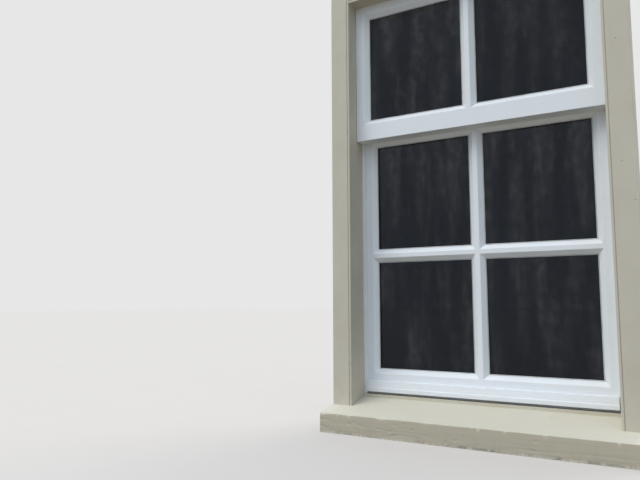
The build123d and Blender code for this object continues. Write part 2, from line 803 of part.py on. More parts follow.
# Spiral balances: tubes on the jambs, rods that stand on feet in the stiles
for hand, side in sides.items():
    axis = (side * tube_place, lower_middle)
    with BuildPart() as balance_tube:
        with BuildSketch(Plane.XY.offset(tube_foot)):
            with Locations(axis):
                Circle(tube_radius)
        extrude(amount=tube_head - tube_foot)
        lug0, lug1 = sorted((side * (tube_place - tube_radius / 2), side * opening_half))
        add(block(lug0, lug1, lower_middle - tube_lug_width / 2, lower_middle + tube_lug_width / 2,
                  tube_head, tube_head + tube_lug_height))
        with BuildSketch(Plane.XY.offset(tube_foot)):
            with Locations(axis):
                Circle(rod_diameter / 2 + rod_fit)
        extrude(amount=tube_collar, mode=Mode.SUBTRACT)
        with BuildSketch(Plane.XY.offset(tube_foot + tube_collar)):
            with Locations(axis):
                Circle(tube_bore / 2)
        extrude(amount=tube_head - tube_plug - tube_foot - tube_collar, mode=Mode.SUBTRACT)
        with BuildSketch(Plane.YZ.offset(lug0)):
            with Locations((lower_middle, tube_head + tube_lug_height / 2)):
                Circle(tube_screw_diameter / 2)
        extrude(amount=lug1 - lug0, mode=Mode.SUBTRACT)
    save(balance_tube, f"{hand}_balance_tube")

    with BuildPart() as balance_rod:
        with BuildSketch(Plane.XY.offset(lower_foot + foot_height - rod_seat)):
            with Locations(axis):
                Circle(rod_diameter / 2)
        extrude(amount=rod_head - lower_foot - foot_height + rod_seat)
    save(balance_rod, f"{hand}_balance_rod")

    f0, f1 = sorted((side * groove_floor, side * (sash_half + foot_projection)))
    foot_front = lower_middle - groove_width / 2 + foot_side_gap
    foot_back = lower_middle + groove_width / 2 - foot_side_gap
    with BuildPart() as balance_foot:
        add(block(f0, f1, foot_front, foot_back, lower_foot, lower_foot + foot_height))
        with BuildSketch(Plane.XY.offset(lower_foot + foot_height - rod_seat)):
            with Locations(axis):
                Circle(rod_diameter / 2 + rod_fit)
        extrude(amount=rod_seat, mode=Mode.SUBTRACT)
    save(balance_foot, f"{hand}_balance_foot")

# Sash fasteners: at rest each lever lies along the meeting rail, unlocked
for hand, side in sides.items():
    pivot = (side * fastener_place, fastener_middle)
    with BuildPart() as fastener_base:
        with BuildSketch(Plane.XY.offset(lower_head)):
            with Locations(pivot):
                SlotOverall(fastener_plate_length, fastener_plate_width)
        extrude(amount=fastener_plate)
        with BuildSketch(Plane.XY.offset(lower_head + fastener_plate)):
            with Locations(pivot):
                Circle(fastener_boss_diameter / 2)
        extrude(amount=fastener_boss)
        with BuildSketch(Plane.XY.offset(lever_foot - lever_gap)):
            with Locations(pivot):
                Circle(fastener_pin_diameter / 2)
        extrude(amount=lever_thickness + 2 * lever_gap)
        with BuildSketch(Plane.XY.offset(lever_head + lever_gap)):
            with Locations(pivot):
                Circle(pin_head_diameter / 2)
        extrude(amount=pin_head)
        with Locations((pivot[0], pivot[1], lower_head + fastener_plate)):
            with GridLocations(fastener_screw_spacing, 0, 2, 1):
                Hole(fastener_screw_diameter / 2, depth=fastener_plate)
    save(fastener_base, f"{hand}_fastener_base")

    with BuildPart() as lever:
        knob = (pivot[0] + side * lever_handle_length, pivot[1])
        with BuildSketch(Plane.XY.offset(lever_foot)):
            with Locations(pivot):
                Circle(lever_hub_diameter / 2)
            with BuildLine():
                Polyline(
                    (pivot[0], pivot[1] - lever_handle_width / 2),
                    (knob[0], knob[1] - lever_handle_tip / 2),
                    (knob[0], knob[1] + lever_handle_tip / 2),
                    (pivot[0], pivot[1] + lever_handle_width / 2),
                    close=True,
                )
            make_face()
        extrude(amount=lever_thickness)
        with BuildSketch(Plane.XY.offset(lever_foot)):
            with Locations((pivot[0] - side * (lever_reach - lever_tongue_width / 2) / 2, pivot[1])):
                SlotOverall(lever_reach + lever_tongue_width / 2, lever_tongue_width)
        extrude(amount=lever_tongue)
        with BuildSketch(Plane.XY.offset(lever_foot)):
            with Locations(knob):
                Circle(lever_knob_diameter / 2)
        extrude(amount=lever_knob_height)
        chamfer(lever.edges().filter_by(GeomType.CIRCLE).sort_by(Axis.Z)[-1], lever_knob_chamfer)
        with BuildSketch(Plane.XY.offset(lever_foot)):
            with Locations(pivot):
                Circle(fastener_pin_diameter / 2 + fastener_pin_fit)
        extrude(amount=lever_thickness, mode=Mode.SUBTRACT)
    save(lever, f"{hand}_lever")

    keep_x = side * (fastener_place - keep_offset)
    with BuildPart() as keep:
        with BuildSketch(Plane.XZ.offset(-upper_back)):
            with Locations((keep_x, keep_middle)):
                Rectangle(keep_length, keep_height)
                Rectangle(keep_slot_length, keep_slot_height, mode=Mode.SUBTRACT)
        extrude(amount=keep_plate)
    save(keep, f"{hand}_keep")

# Sash lifts: two bowed strap handles on the room face of the bottom rail
lift_level = lower_sill_sight - lift_drop
for hand, side in sides.items():
    lift_x = side * pane_centre
    root = lower_back + lift_rose
    reach = lower_back + lift_projection - lift_strap_thickness / 2
    with BuildPart() as lift:
        with BuildSketch(Plane.XY.offset(lift_level - lift_strap_height / 2)):
            with BuildLine():
                FilletPolyline(
                    (lift_x - lift_span / 2, root),
                    (lift_x - lift_span / 2, reach),
                    (lift_x + lift_span / 2, reach),
                    (lift_x + lift_span / 2, root),
                    radius=lift_bend,
                )
            trace(line_width=lift_strap_thickness)
        extrude(amount=lift_strap_height)
        for end in (-1, 1):
            with BuildSketch(Plane.XZ.offset(-lower_back)):
                with Locations((lift_x + end * lift_span / 2, lift_level)):
                    Circle(lift_rose_diameter / 2)
            extrude(amount=-lift_rose)
    save(lift, f"{hand}_sash_lift")
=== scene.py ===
# %% [markdown]
# # A painted sash window, dressed piece by piece
# The window is a timber frame with a deep sloped sill, a fixed sash above and a sliding sash
# below it. The construction model already holds every piece at its true size and place, so this
# lesson only gives the pieces their looks: the softened edges that sandpaper and paint leave,
# the small ironmongery, and one finish for each kind of surface.

# %% Load the construction model
import json
import math

import bmesh
import bpy
import numpy as np
from mathutils import Matrix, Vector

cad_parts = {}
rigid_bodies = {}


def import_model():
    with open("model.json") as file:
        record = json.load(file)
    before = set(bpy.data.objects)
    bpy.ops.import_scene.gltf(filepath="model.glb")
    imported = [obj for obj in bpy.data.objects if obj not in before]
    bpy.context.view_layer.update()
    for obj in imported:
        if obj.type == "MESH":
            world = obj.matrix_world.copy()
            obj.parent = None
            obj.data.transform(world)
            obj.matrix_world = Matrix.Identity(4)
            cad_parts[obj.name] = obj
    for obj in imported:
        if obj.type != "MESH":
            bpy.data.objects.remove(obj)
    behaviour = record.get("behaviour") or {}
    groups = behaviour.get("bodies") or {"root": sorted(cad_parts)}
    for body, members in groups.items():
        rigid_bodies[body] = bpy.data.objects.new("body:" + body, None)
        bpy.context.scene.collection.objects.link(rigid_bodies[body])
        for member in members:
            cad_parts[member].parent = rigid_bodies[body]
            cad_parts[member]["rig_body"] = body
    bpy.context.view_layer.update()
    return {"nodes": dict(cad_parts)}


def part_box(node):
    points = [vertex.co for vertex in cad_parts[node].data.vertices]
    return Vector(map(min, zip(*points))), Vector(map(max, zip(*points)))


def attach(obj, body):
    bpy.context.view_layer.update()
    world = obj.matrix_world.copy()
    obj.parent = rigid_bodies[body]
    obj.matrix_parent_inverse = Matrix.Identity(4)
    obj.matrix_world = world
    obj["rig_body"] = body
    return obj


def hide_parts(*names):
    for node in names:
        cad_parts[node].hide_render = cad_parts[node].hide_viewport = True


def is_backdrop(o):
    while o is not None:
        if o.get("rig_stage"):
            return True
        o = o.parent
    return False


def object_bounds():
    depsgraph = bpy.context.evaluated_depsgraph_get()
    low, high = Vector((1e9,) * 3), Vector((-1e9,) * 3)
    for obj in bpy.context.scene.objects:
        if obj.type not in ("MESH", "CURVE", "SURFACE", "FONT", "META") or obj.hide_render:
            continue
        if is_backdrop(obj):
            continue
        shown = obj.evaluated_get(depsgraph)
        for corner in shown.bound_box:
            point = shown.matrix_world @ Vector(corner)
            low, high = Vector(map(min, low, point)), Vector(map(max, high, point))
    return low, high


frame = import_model()
nodes = frame["nodes"]
MM = 0.001
print("nodes loaded:", len(nodes))

# %% [markdown]
# ## Camera
# The eye stands low, to the right of the window's middle, and looks up and to the left. A camera's
# matrix is easiest to build from three directions: where it looks, what is level to its right, and
# the cross product of the two, which points up. The small roll turns the last two about the first.
# A camera looks along its own -Z, so the third column is the look turned round.

# %% Place the camera
def matrix_of(across, upward, back, place=(0.0, 0.0, 0.0)):
    """A matrix whose columns are an object's own X, Y and Z directions and its place."""
    turn = np.eye(4)
    turn[:3] = np.stack([across, upward, back, place], axis=1)
    return Matrix(turn.tolist())


image_width = 640
focal_pixels = 609.9
eye = np.array([598.5, -1983.0, 456.0]) * MM
yaw, pitch, roll = math.radians(-30.4), math.radians(5.8), math.radians(-0.2)

look = np.array([math.sin(yaw) * math.cos(pitch), math.cos(yaw) * math.cos(pitch), math.sin(pitch)])
level = np.array([math.cos(yaw), -math.sin(yaw), 0.0])
rise = np.cross(level, look)
right = level * math.cos(roll) + rise * math.sin(roll)
up = rise * math.cos(roll) - level * math.sin(roll)

camera_data = bpy.data.cameras.new("camera")
camera_data.sensor_width = 36.0
camera_data.lens = focal_pixels * camera_data.sensor_width / image_width
camera_data.clip_start, camera_data.clip_end = 0.05, 200.0
camera = bpy.data.objects.new("camera", camera_data)
bpy.context.scene.collection.objects.link(camera)
camera.matrix_world = matrix_of(right, up, -look, eye)
bpy.context.scene.camera = camera
bpy.context.scene.view_settings.view_transform = "Standard"
print("lens in millimetres:", round(camera_data.lens, 2))

# %% [markdown]
# ## Small helpers for shader nodes
# A material is a graph, and most of its lines would only create a node and fill in its sockets.
# One helper does both: a value that is a socket is linked, anything else is set. On top of it stand
# the few steps that every finish here is made of: arithmetic, a smooth step, a blend of two colours,
# noise and a bump.

# %% Node helpers
def connect(tree, value, socket):
    """Links the value to the socket if it is a socket itself, and otherwise sets it there."""
    if isinstance(value, bpy.types.NodeSocket):
        tree.links.new(value, socket)
    else:
        socket.default_value = value


def add_node(tree, kind, feeds=None, **settings):
    """One node of a kind. Settings are its properties; feeds go to its inputs, by name or number."""
    made = tree.nodes.new(kind)
    for name, value in settings.items():
        setattr(made, name, value)
    for name, value in (feeds or {}).items():
        connect(tree, value, made.inputs[name])
    return made


def math_of(tree, operation, first, second, clamp=False):
    """One step of arithmetic on two numbers, held between 0 and 1 by clamp."""
    made = add_node(tree, "ShaderNodeMath", {0: first, 1: second}, operation=operation, use_clamp=clamp)
    return made.outputs[0]


def added(tree, first, second, clamp=False):
    """The sum of two numbers."""
    return math_of(tree, "ADD", first, second, clamp)


def times(tree, first, second, clamp=False):
    """The product of two numbers."""
    return math_of(tree, "MULTIPLY", first, second, clamp)


def blend_of(tree, factor, first, second):
    """The first colour where the factor is 0, the second where it is 1."""
    made = add_node(tree, "ShaderNodeMix", {0: factor, 6: first, 7: second}, data_type="RGBA")
    return made.outputs[2]


def band_of(tree, value, low, high, floor=0.0, ceiling=1.0):
    """A smooth step: floor below low, ceiling above high, and an S curve between them."""
    made = add_node(tree, "ShaderNodeMapRange", {0: value, 1: low, 2: high, 3: floor, 4: ceiling},
                    interpolation_type="SMOOTHSTEP")
    return made.outputs[0]


print("helpers for numbers:", math_of.__name__, added.__name__, times.__name__, band_of.__name__)

# %% Pattern helpers
def noise_of(tree, vector, scale, detail=3.0, roughness=0.55):
    """Cloudy noise between 0 and 1; a larger scale makes smaller clouds."""
    made = add_node(tree, "ShaderNodeTexNoise",
                    {"Vector": vector, "Scale": scale, "Detail": detail, "Roughness": roughness})
    return made.outputs[0]


def stretched(tree, vector, stretch):
    """Coordinates multiplied by three numbers: a small number draws the pattern out that way."""
    made = add_node(tree, "ShaderNodeVectorMath", {0: vector, 1: stretch}, operation="MULTIPLY")
    return made.outputs[0]


def parts_of(tree, vector):
    """The X, Y and Z of a vector, as sockets by name."""
    return add_node(tree, "ShaderNodeSeparateXYZ", {0: vector}).outputs


def bump_of(tree, height, strength, distance):
    """Normals that tilt as if the surface stood up by height times distance, in metres."""
    made = add_node(tree, "ShaderNodeBump",
                    {"Strength": strength, "Distance": distance, "Height": height})
    return made.outputs[0]


print("helpers for patterns:", noise_of.__name__, stretched.__name__, bump_of.__name__)

# %% [markdown]
# ## Groups and materials
# A node group is an effect with sockets of its own, made once and placed in every material that has
# the effect. A material starts as one shader and its output, with the piece's own coordinates at
# hand, so that patterns stay on the piece when it moves.

# %% Helpers for groups and materials
FLOAT, VECTOR, COLOUR = "NodeSocketFloat", "NodeSocketVector", "NodeSocketColor"


def new_group(name, inputs, outputs):
    """An empty node group with named sockets; returns the group, its entry and its exit."""
    group = bpy.data.node_groups.new(name, "ShaderNodeTree")
    for label, kind, value in inputs:
        socket = group.interface.new_socket(name=label, in_out="INPUT", socket_type=kind)
        socket.default_value = value
    for label, kind in outputs:
        group.interface.new_socket(name=label, in_out="OUTPUT", socket_type=kind)
    return group, group.nodes.new("NodeGroupInput").outputs, group.nodes.new("NodeGroupOutput").inputs


def put_out(group, result, **values):
    """Links each value to the group's exit of the same name."""
    for name, value in values.items():
        group.links.new(value, result[name])


def placed(tree, group, **feeds):
    """A node group placed in a material, its inputs fed by name; returns its outputs."""
    return add_node(tree, "ShaderNodeGroup", feeds, node_tree=group).outputs


def new_material(name):
    """A material with only its output and its shader; returns it, its tree, shader and coordinates."""
    material = bpy.data.materials.new(name)
    material.use_nodes = True
    tree = material.node_tree
    tree.nodes.clear()
    shader = add_node(tree, "ShaderNodeBsdfPrincipled")
    output = add_node(tree, "ShaderNodeOutputMaterial")
    tree.links.new(shader.outputs[0], output.inputs["Surface"])
    place = add_node(tree, "ShaderNodeTexCoord").outputs["Object"]
    return material, tree, shader, place


def feed(tree, shader, **sockets):
    """Links or sets sockets of the shader; an underscore in a name stands for a space."""
    for name, value in sockets.items():
        connect(tree, value, shader.inputs[name.replace("_", " ")])


def linear(red, green, blue):
    """A colour picked on screen, 0 to 255, as the linear light that the shader works in."""
    value = np.array([red, green, blue]) / 255.0
    value = np.where(value <= 0.04045, value / 12.92, ((value + 0.055) / 1.055) ** 2.4)
    return (*value.tolist(), 1.0)


print("middle grey as linear light:", [round(part, 3) for part in linear(128, 128, 128)])

# %% [markdown]
# ## Brushed paint
# Gloss and satin paint on joinery is never flat: the brush leaves fine ridges along each member,
# the film is a little thicker here and thinner there, and dust dulls it in patches. The ridges run
# with the timber, so the noise is drawn out along one direction. Every timber paint here uses the
# same effect, which makes it worth a group with its own sockets.

# %% Brushed paint group
brushed_paint, given, result = new_group(
    "brushed_paint",
    [("Vector", VECTOR, (0, 0, 0)), ("Stroke", VECTOR, (1, 1, 1)), ("Paint", COLOUR, (1, 1, 1, 1)),
     ("Undertone", COLOUR, (0.5, 0.5, 0.5, 1)), ("Patchiness", FLOAT, 0.5), ("Gloss", FLOAT, 0.4),
     ("Ridges", FLOAT, 0.2)],
    [("Color", COLOUR), ("Roughness", FLOAT), ("Normal", VECTOR)])
tree = brushed_paint
ridge = noise_of(tree, stretched(tree, given["Vector"], given["Stroke"]), 1.0, 4.0, 0.6)
patch = noise_of(tree, given["Vector"], 7.0, 4.0, 0.6)
peel = noise_of(tree, given["Vector"], 420.0, 2.0, 0.5)
cloud = band_of(tree, patch, 0.38, 0.72)
thin = times(tree, cloud, given["Patchiness"])
streak = times(tree, band_of(tree, ridge, 0.45, 0.75), 0.12)
tone = added(tree, thin, streak, clamp=True)
dull = added(tree, given["Gloss"], times(tree, cloud, 0.14))
dull = added(tree, dull, times(tree, ridge, 0.10), clamp=True)
height = added(tree, ridge, times(tree, peel, 0.35))
put_out(tree, result, Color=blend_of(tree, tone, given["Paint"], given["Undertone"]), Roughness=dull,
        Normal=bump_of(tree, height, given["Ridges"], 0.6 * MM))
print("group made:", brushed_paint.name)

# %% [markdown]
# ## Grime
# Rain leaves a faint film on painted joinery: thin runs on upright faces, and a greenish cast low
# down, where splashes reach. An image of the dirt would have to be fitted to every member, while a
# mask worked out from the place falls right on all of them. It is noise drawn out along Z, plus a
# cloud times a ramp that is full at the height Foot and gone a Reach above it.

# %% Grime group
grime, given, result = new_group(
    "grime",
    [("Vector", VECTOR, (0, 0, 0)), ("Foot", FLOAT, 0.1), ("Reach", FLOAT, 0.3),
     ("Amount", FLOAT, 0.3)],
    [("Mask", FLOAT)])
tree = grime
above = math_of(tree, "SUBTRACT", parts_of(tree, given["Vector"])["Z"], given["Foot"])
share = math_of(tree, "DIVIDE", above, given["Reach"], clamp=True)
low = math_of(tree, "SUBTRACT", 1.0, share, clamp=True)
runs = noise_of(tree, stretched(tree, given["Vector"], (60.0, 60.0, 3.5)), 1.0, 5.0, 0.62)
spots = noise_of(tree, given["Vector"], 26.0, 5.0, 0.65)
film = times(tree, band_of(tree, runs, 0.52, 0.78), 0.30)
splash = times(tree, band_of(tree, spots, 0.42, 0.70), low)
mask = added(tree, film, splash, clamp=True)
put_out(tree, result, Mask=times(tree, mask, given["Amount"], clamp=True))
print("group made:", grime.name)

# %% [markdown]
# ## Specks
# Small dark dots, from flies and from flakes of old paint, are scattered over the frame. They are
# too flat to need a shape, so they are drawn in the colour. A Voronoi pattern gives one random point
# to each cell; a dot is drawn where the distance to that point is small, and only in the share of
# cells whose random colour falls below a limit.

# %% Specks group
specks, given, result = new_group(
    "specks",
    [("Vector", VECTOR, (0, 0, 0)), ("Scale", FLOAT, 34.0), ("Share", FLOAT, 0.1),
     ("Size", FLOAT, 0.07)],
    [("Mask", FLOAT)])
tree = specks
cells = add_node(tree, "ShaderNodeTexVoronoi",
                 {"Vector": given["Vector"], "Scale": given["Scale"]}).outputs
chance = add_node(tree, "ShaderNodeSeparateColor", {0: cells["Color"]}).outputs[0]
chosen = math_of(tree, "LESS_THAN", chance, given["Share"])
inner = times(tree, given["Size"], 0.6)
spot = band_of(tree, cells["Distance"], inner, given["Size"], 1.0, 0.0)
put_out(tree, result, Mask=times(tree, spot, chosen))
print("group made:", specks.name)

# %% [markdown]
# ## Frame paint and sash paint
# The frame is a warm stone grey eggshell, the sashes a cool white satin. Each comes twice: brushed
# along Z on the upright members, and along X on the level ones. The numbers in a stroke vector are
# large across the member and small along it. The sill and the weather bar each get a small function of
# their own, which changes their film's colour before the grime goes on: wear and painted light and
# shade on the sill, painted shade on the weather bar.

# %% What the weather does, and painted light and shade
def facing_up(tree):
    """How far a face looks up: the Z of its true normal, from -1 underneath to 1 on top."""
    return parts_of(tree, add_node(tree, "ShaderNodeNewGeometry").outputs["True Normal"])["Z"]


def sill_wear_and_light(tree, place, colour):
    """The sill's front face is darker, by a band along Y: painted shade. Its slope is paler, as painted
    light from above and partly as sun bleaching: the share is a band of how far it faces up, ended just
    before the sash. Along the lower front edge the film has crumbled, and a fine noise lets a paler
    coat show through in its last eleven millimetres."""
    # the first colour is painted shade for the front face, the second painted light for the slope
    front_face_shade, slope_top_light = linear(190, 182, 161), linear(216, 210, 193)
    first_coat = linear(222, 216, 203)
    spot = parts_of(tree, place)
    # painted shade: the front face is darker
    front = band_of(tree, spot["Y"], -70.0 * MM, -55.0 * MM, 1.0, 0.0)
    colour = blend_of(tree, front, colour, front_face_shade)
    outdoors = band_of(tree, spot["Y"], 88.0 * MM, 100.0 * MM, 1.0, 0.0)
    # painted light: the slope that looks up is paler, partly sun bleaching too
    top_light_share = band_of(tree, facing_up(tree), 0.4, 0.95, 0.0, 0.7)
    colour = blend_of(tree, times(tree, top_light_share, outdoors), colour, slope_top_light)
    flakes = band_of(tree, noise_of(tree, place, 130.0, 4.0, 0.7), 0.47, 0.58)
    low_edge = times(tree, band_of(tree, spot["Z"], 2.0 * MM, 11.0 * MM, 0.8, 0.0), front)
    return blend_of(tree, times(tree, flakes, low_edge), colour, first_coat)


def underside_shade(tree, place, colour):
    """Painted shade on faces that look down, which darkens the gap under the weather bar. The share is
    a band of how far a face looks down, so this shade takes no notice of the place."""
    # painted shade: faces that look down are darkened
    shade_underneath = linear(70, 67, 58)
    return blend_of(tree, band_of(tree, facing_up(tree), -0.8, -0.4, 1.0, 0.0), colour, shade_underneath)


print("kinds of weather:", sill_wear_and_light.__name__, underside_shade.__name__)

# %% Timber paints
strokes = {"upright": (900.0, 900.0, 14.0), "level": (14.0, 900.0, 900.0)}
stone, stone_worn = linear(201, 194, 176), linear(184, 176, 153)
white, white_worn = linear(234, 237, 239), linear(216, 217, 213)
soil, speck_brown = linear(128, 125, 104), linear(122, 114, 94)


def timber_paint(name, way, colour, worn, gloss, patchiness, ridges, dirt, foot, reach, fly_specks=0.0,
                 weather=None):
    """Brushed paint with rain grime over it; way says along which direction it was brushed, and weather
    is a function that changes the film's colour before the grime goes on, with wear and with painted
    light and shade."""
    material, tree, shader, place = new_material(name)
    film = placed(tree, brushed_paint, Vector=place, Stroke=strokes[way], Paint=colour, Undertone=worn,
                  Patchiness=patchiness, Gloss=gloss, Ridges=ridges)
    dust = placed(tree, grime, Vector=place, Foot=foot, Reach=reach, Amount=dirt)["Mask"]
    colour = film["Color"]
    # the weather function paints wear, and painted light and shade, into the film's colour
    if weather:
        colour = weather(tree, place, colour)
    colour = blend_of(tree, dust, colour, soil)
    if fly_specks:
        dots = placed(tree, specks, Vector=place, Scale=34.0, Share=fly_specks, Size=0.07)["Mask"]
        colour = blend_of(tree, dots, colour, speck_brown)
    dull = added(tree, film["Roughness"], times(tree, dust, 0.3), clamp=True)
    feed(tree, shader, Base_Color=colour, Roughness=dull, Normal=film["Normal"], IOR=1.5)
    return material


frame_film = {"colour": stone, "worn": stone_worn, "gloss": 0.46, "patchiness": 0.28, "ridges": 0.35,
              "dirt": 0.16, "foot": 0.085, "reach": 0.10, "fly_specks": 0.18}
sill_film = {"colour": stone, "worn": stone_worn, "gloss": 0.50, "patchiness": 0.45, "ridges": 0.45,
             "dirt": 0.20, "foot": 0.0, "reach": 0.05, "fly_specks": 0.10}
sash_film = {"colour": white, "worn": white_worn, "gloss": 0.30, "patchiness": 0.12, "ridges": 0.22,
             "dirt": 0.06, "foot": 0.117, "reach": 0.05}
frame_paint = {way: timber_paint(f"frame_paint_{way}", way, **frame_film) for way in strokes}
sash_paint = {way: timber_paint(f"sash_paint_{way}", way, **sash_film) for way in strokes}
# painted shade on the sill's front and the weather bar's underside, painted light on the sill's slope
sill_paint = timber_paint("sill_paint", "level", weather=sill_wear_and_light, **sill_film)
bar_paint = timber_paint("weather_bar_paint", "level", weather=underside_shade, **sash_film)
print("paints made:", len(frame_paint) + len(sash_paint) + 2)

# %% [markdown]
# ## Surfaces from arrays
# A new piece is a surface worked out as one array of points: rows run one way over it and columns
# the other. Quads join neighbouring points. A direction that closes on itself also joins its last
# line of points to its first. Points that coincide, as at a pole, are merged afterwards.

# %% Surface helpers
def quads_of(rows, columns, join_rows=False, join_columns=False):
    """Corner numbers of the quads between neighbouring points of a grid, as an array of fours."""
    number = np.arange(rows * columns).reshape(rows, columns)
    if join_rows:
        number = np.vstack([number, number[:1]])
    if join_columns:
        number = np.hstack([number, number[:, :1]])
    corners = (number[:-1, :-1], number[1:, :-1], number[1:, 1:], number[:-1, 1:])
    return np.stack(corners, axis=-1).reshape(-1, 4)


def clean(mesh, merge=1e-7):
    """Merges points that coincide, drops faces without area and turns all faces outwards."""
    work = bmesh.new()
    work.from_mesh(mesh)
    bmesh.ops.remove_doubles(work, verts=work.verts, dist=merge)
    bmesh.ops.dissolve_degenerate(work, edges=work.edges, dist=merge)
    bmesh.ops.recalc_face_normals(work, faces=work.faces)
    work.to_mesh(mesh)
    work.free()


def mesh_of(name, surfaces):
    """One mesh from several closed surfaces, each given as (points, join_rows, join_columns)."""
    points, quads, count = [], [], 0
    for grid, join_rows, join_columns in surfaces:
        quads.append(quads_of(grid.shape[0], grid.shape[1], join_rows, join_columns) + count)
        points.append(grid.reshape(-1, 3))
        count += points[-1].shape[0]
    mesh = bpy.data.meshes.new(name)
    mesh.from_pydata(np.concatenate(points).tolist(), [], np.concatenate(quads).tolist())
    clean(mesh)
    return mesh


def show(mesh, material, body, crease=32.0):
    """Puts a finished mesh into the scene as a piece that rides on a body. Edges that turn by more
    than the crease, in degrees, stay sharp."""
    mesh.materials.clear()
    mesh.materials.append(material)
    mesh.shade_smooth()
    mesh.set_sharp_from_angle(angle=math.radians(crease))
    piece = bpy.data.objects.new(mesh.name, mesh)
    bpy.context.scene.collection.objects.link(piece)
    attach(piece, body)
    return piece


print("quads of a grid of 4 by 3 points:", len(quads_of(4, 3)))

# %% [markdown]
# ## Eased timber
# Joiners take the sharp arris off every edge before painting, because paint runs away from a sharp
# corner. A Bevel modifier does that on a merged copy of the construction mesh. Edges at a joint
# between two members stay almost sharp, so the joint shows as a hairline. An edge counts as a joint
# edge when its middle lies inside the box of a neighbouring member, which arrays test in one go.

# %% Eased copies
def eased_mesh(node, neighbours, joint_share):
    """A merged copy of a node's mesh whose sharp edges carry bevel weights: 1 in the open and
    joint_share where the middle of the edge lies in the box of a neighbour, or within reach of it.
    An edge is sharp when its two faces turn by more than 24 degrees."""
    flat, sharp_turn, reach = math.radians(0.5), math.radians(24.0), 0.2 * MM
    mesh = nodes[node].data.copy()
    mesh.name = f"{node}_eased"
    if mesh.has_custom_normals:
        mesh.attributes.remove(mesh.attributes["custom_normal"])
    work = bmesh.new()
    work.from_mesh(mesh)
    bmesh.ops.remove_doubles(work, verts=work.verts, dist=0.002 * MM)
    bmesh.ops.dissolve_limit(work, angle_limit=flat, verts=work.verts, edges=work.edges)
    sharp = np.array([len(edge.link_faces) == 2 and edge.calc_face_angle(0.0) > sharp_turn
                      for edge in work.edges], bool)
    work.to_mesh(mesh)
    work.free()
    corners = np.empty(len(mesh.vertices) * 3)
    mesh.vertices.foreach_get("co", corners)
    ends = np.empty(len(mesh.edges) * 2, int)
    mesh.edges.foreach_get("vertices", ends)
    middles = corners.reshape(-1, 3)[ends.reshape(-1, 2)].mean(axis=1)
    joint = np.zeros(len(middles), bool)
    for other in neighbours:
        low, high = np.array(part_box(other))
        joint |= np.all((middles > low - reach) & (middles < high + reach), axis=1)
    weights = np.where(joint, joint_share, 1.0) * sharp
    mesh.attributes.new("bevel_weight_edge", "FLOAT", "EDGE")
    mesh.attributes["bevel_weight_edge"].data.foreach_set("value", weights.astype(np.float32))
    return mesh


def ease(node, arris, material, neighbours=(), joint_share=0.2, segments=2, clamp=True):
    """Shows an eased copy in place of a node; arris is the width of the bevel in the open. Round
    pieces have edges shorter than the bevel is wide, which clamping would take for an overlap."""
    mesh = eased_mesh(node, [other for other in neighbours if other != node], joint_share)
    piece = show(mesh, material, nodes[node]["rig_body"])
    bevel = piece.modifiers.new("arris", "BEVEL")
    bevel.limit_method = "WEIGHT"
    bevel.width = arris
    bevel.segments = segments
    bevel.use_clamp_overlap = clamp
    bevel.harden_normals = True
    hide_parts(node)


lower_members = ["lower_left_stile", "lower_right_stile", "lower_bottom_rail", "lower_meeting_rail",
                 "lower_upright_bar", "lower_left_cross_bar", "lower_right_cross_bar"]
upper_members = ["upper_left_stile", "upper_right_stile", "upper_top_rail", "upper_meeting_rail",
                 "upper_upright_bar"]
for group in (lower_members, upper_members):
    for node in group:
        way = "upright" if "stile" in node or "upright" in node else "level"
        ease(node, 1.3 * MM, sash_paint[way], group, joint_share=0.15)
ease("weather_bar", 0.9 * MM, bar_paint)

outer_frame = ["left_jamb", "right_jamb", "head"]
for node in outer_frame:
    way = "level" if node == "head" else "upright"
    ease(node, 1.6 * MM, frame_paint[way], outer_frame + ["sill"], joint_share=0.12)

track = ["left_parting_bead", "right_parting_bead", "head_parting_bead", "left_staff_bead",
         "right_staff_bead", "head_staff_bead", "sill_staff_bead"]
for node in track:
    way = "upright" if "left" in node or "right" in node else "level"
    ease(node, 0.7 * MM, sash_paint[way], track, joint_share=0.3)
print("eased pieces:", len(lower_members + upper_members + outer_frame + track) + 1)

# %% [markdown]
# ## Glazing beads
# Each pane is held on the inner side by four mitred beads. The four are one node, so they are eased
# together; the gaps at the mitres are real, and the bevel makes them read as joints.

# %% Ease the glazing beads
panes = ["lower_left", "lower_right", "middle_left", "middle_right", "upper_left", "upper_right"]
for pane in panes:
    ease(f"{pane}_beads", 0.5 * MM, sash_paint["level"])
print("bead sets:", len(panes))

# %% [markdown]
# ## The sill
# The sill has to show the wear of its front, and that is shape, so it is made anew as a surface: its
# section, as a closed line of points, is carried along X. The line runs up the front face, round the
# nose, back along the slope and the step, down the back, and along the underside with its drip
# groove. Points stand close where the wear will need them.

# %% Sill section
sill_low, sill_high = np.array(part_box("sill"))
front_height, slope_end, step_foot, nose = 68.0 * MM, 100.0 * MM, 106.8 * MM, 3.0 * MM
drip_near, drip_far, drip_roof = -60.0 * MM, -52.0 * MM, 5.0 * MM
foot_band = 12.0 * MM
jamb_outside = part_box("right_jamb")[1][0]
y_front, y_back, z_top = sill_low[1], sill_high[1], sill_high[2]


def run_of(start, stop, count, crowd=1.0):
    """Points from start towards stop, without the last; crowd above 1 packs them near start."""
    share = (np.arange(count) / count) ** crowd
    return np.array(start) + share[:, None] * (np.array(stop) - np.array(start))


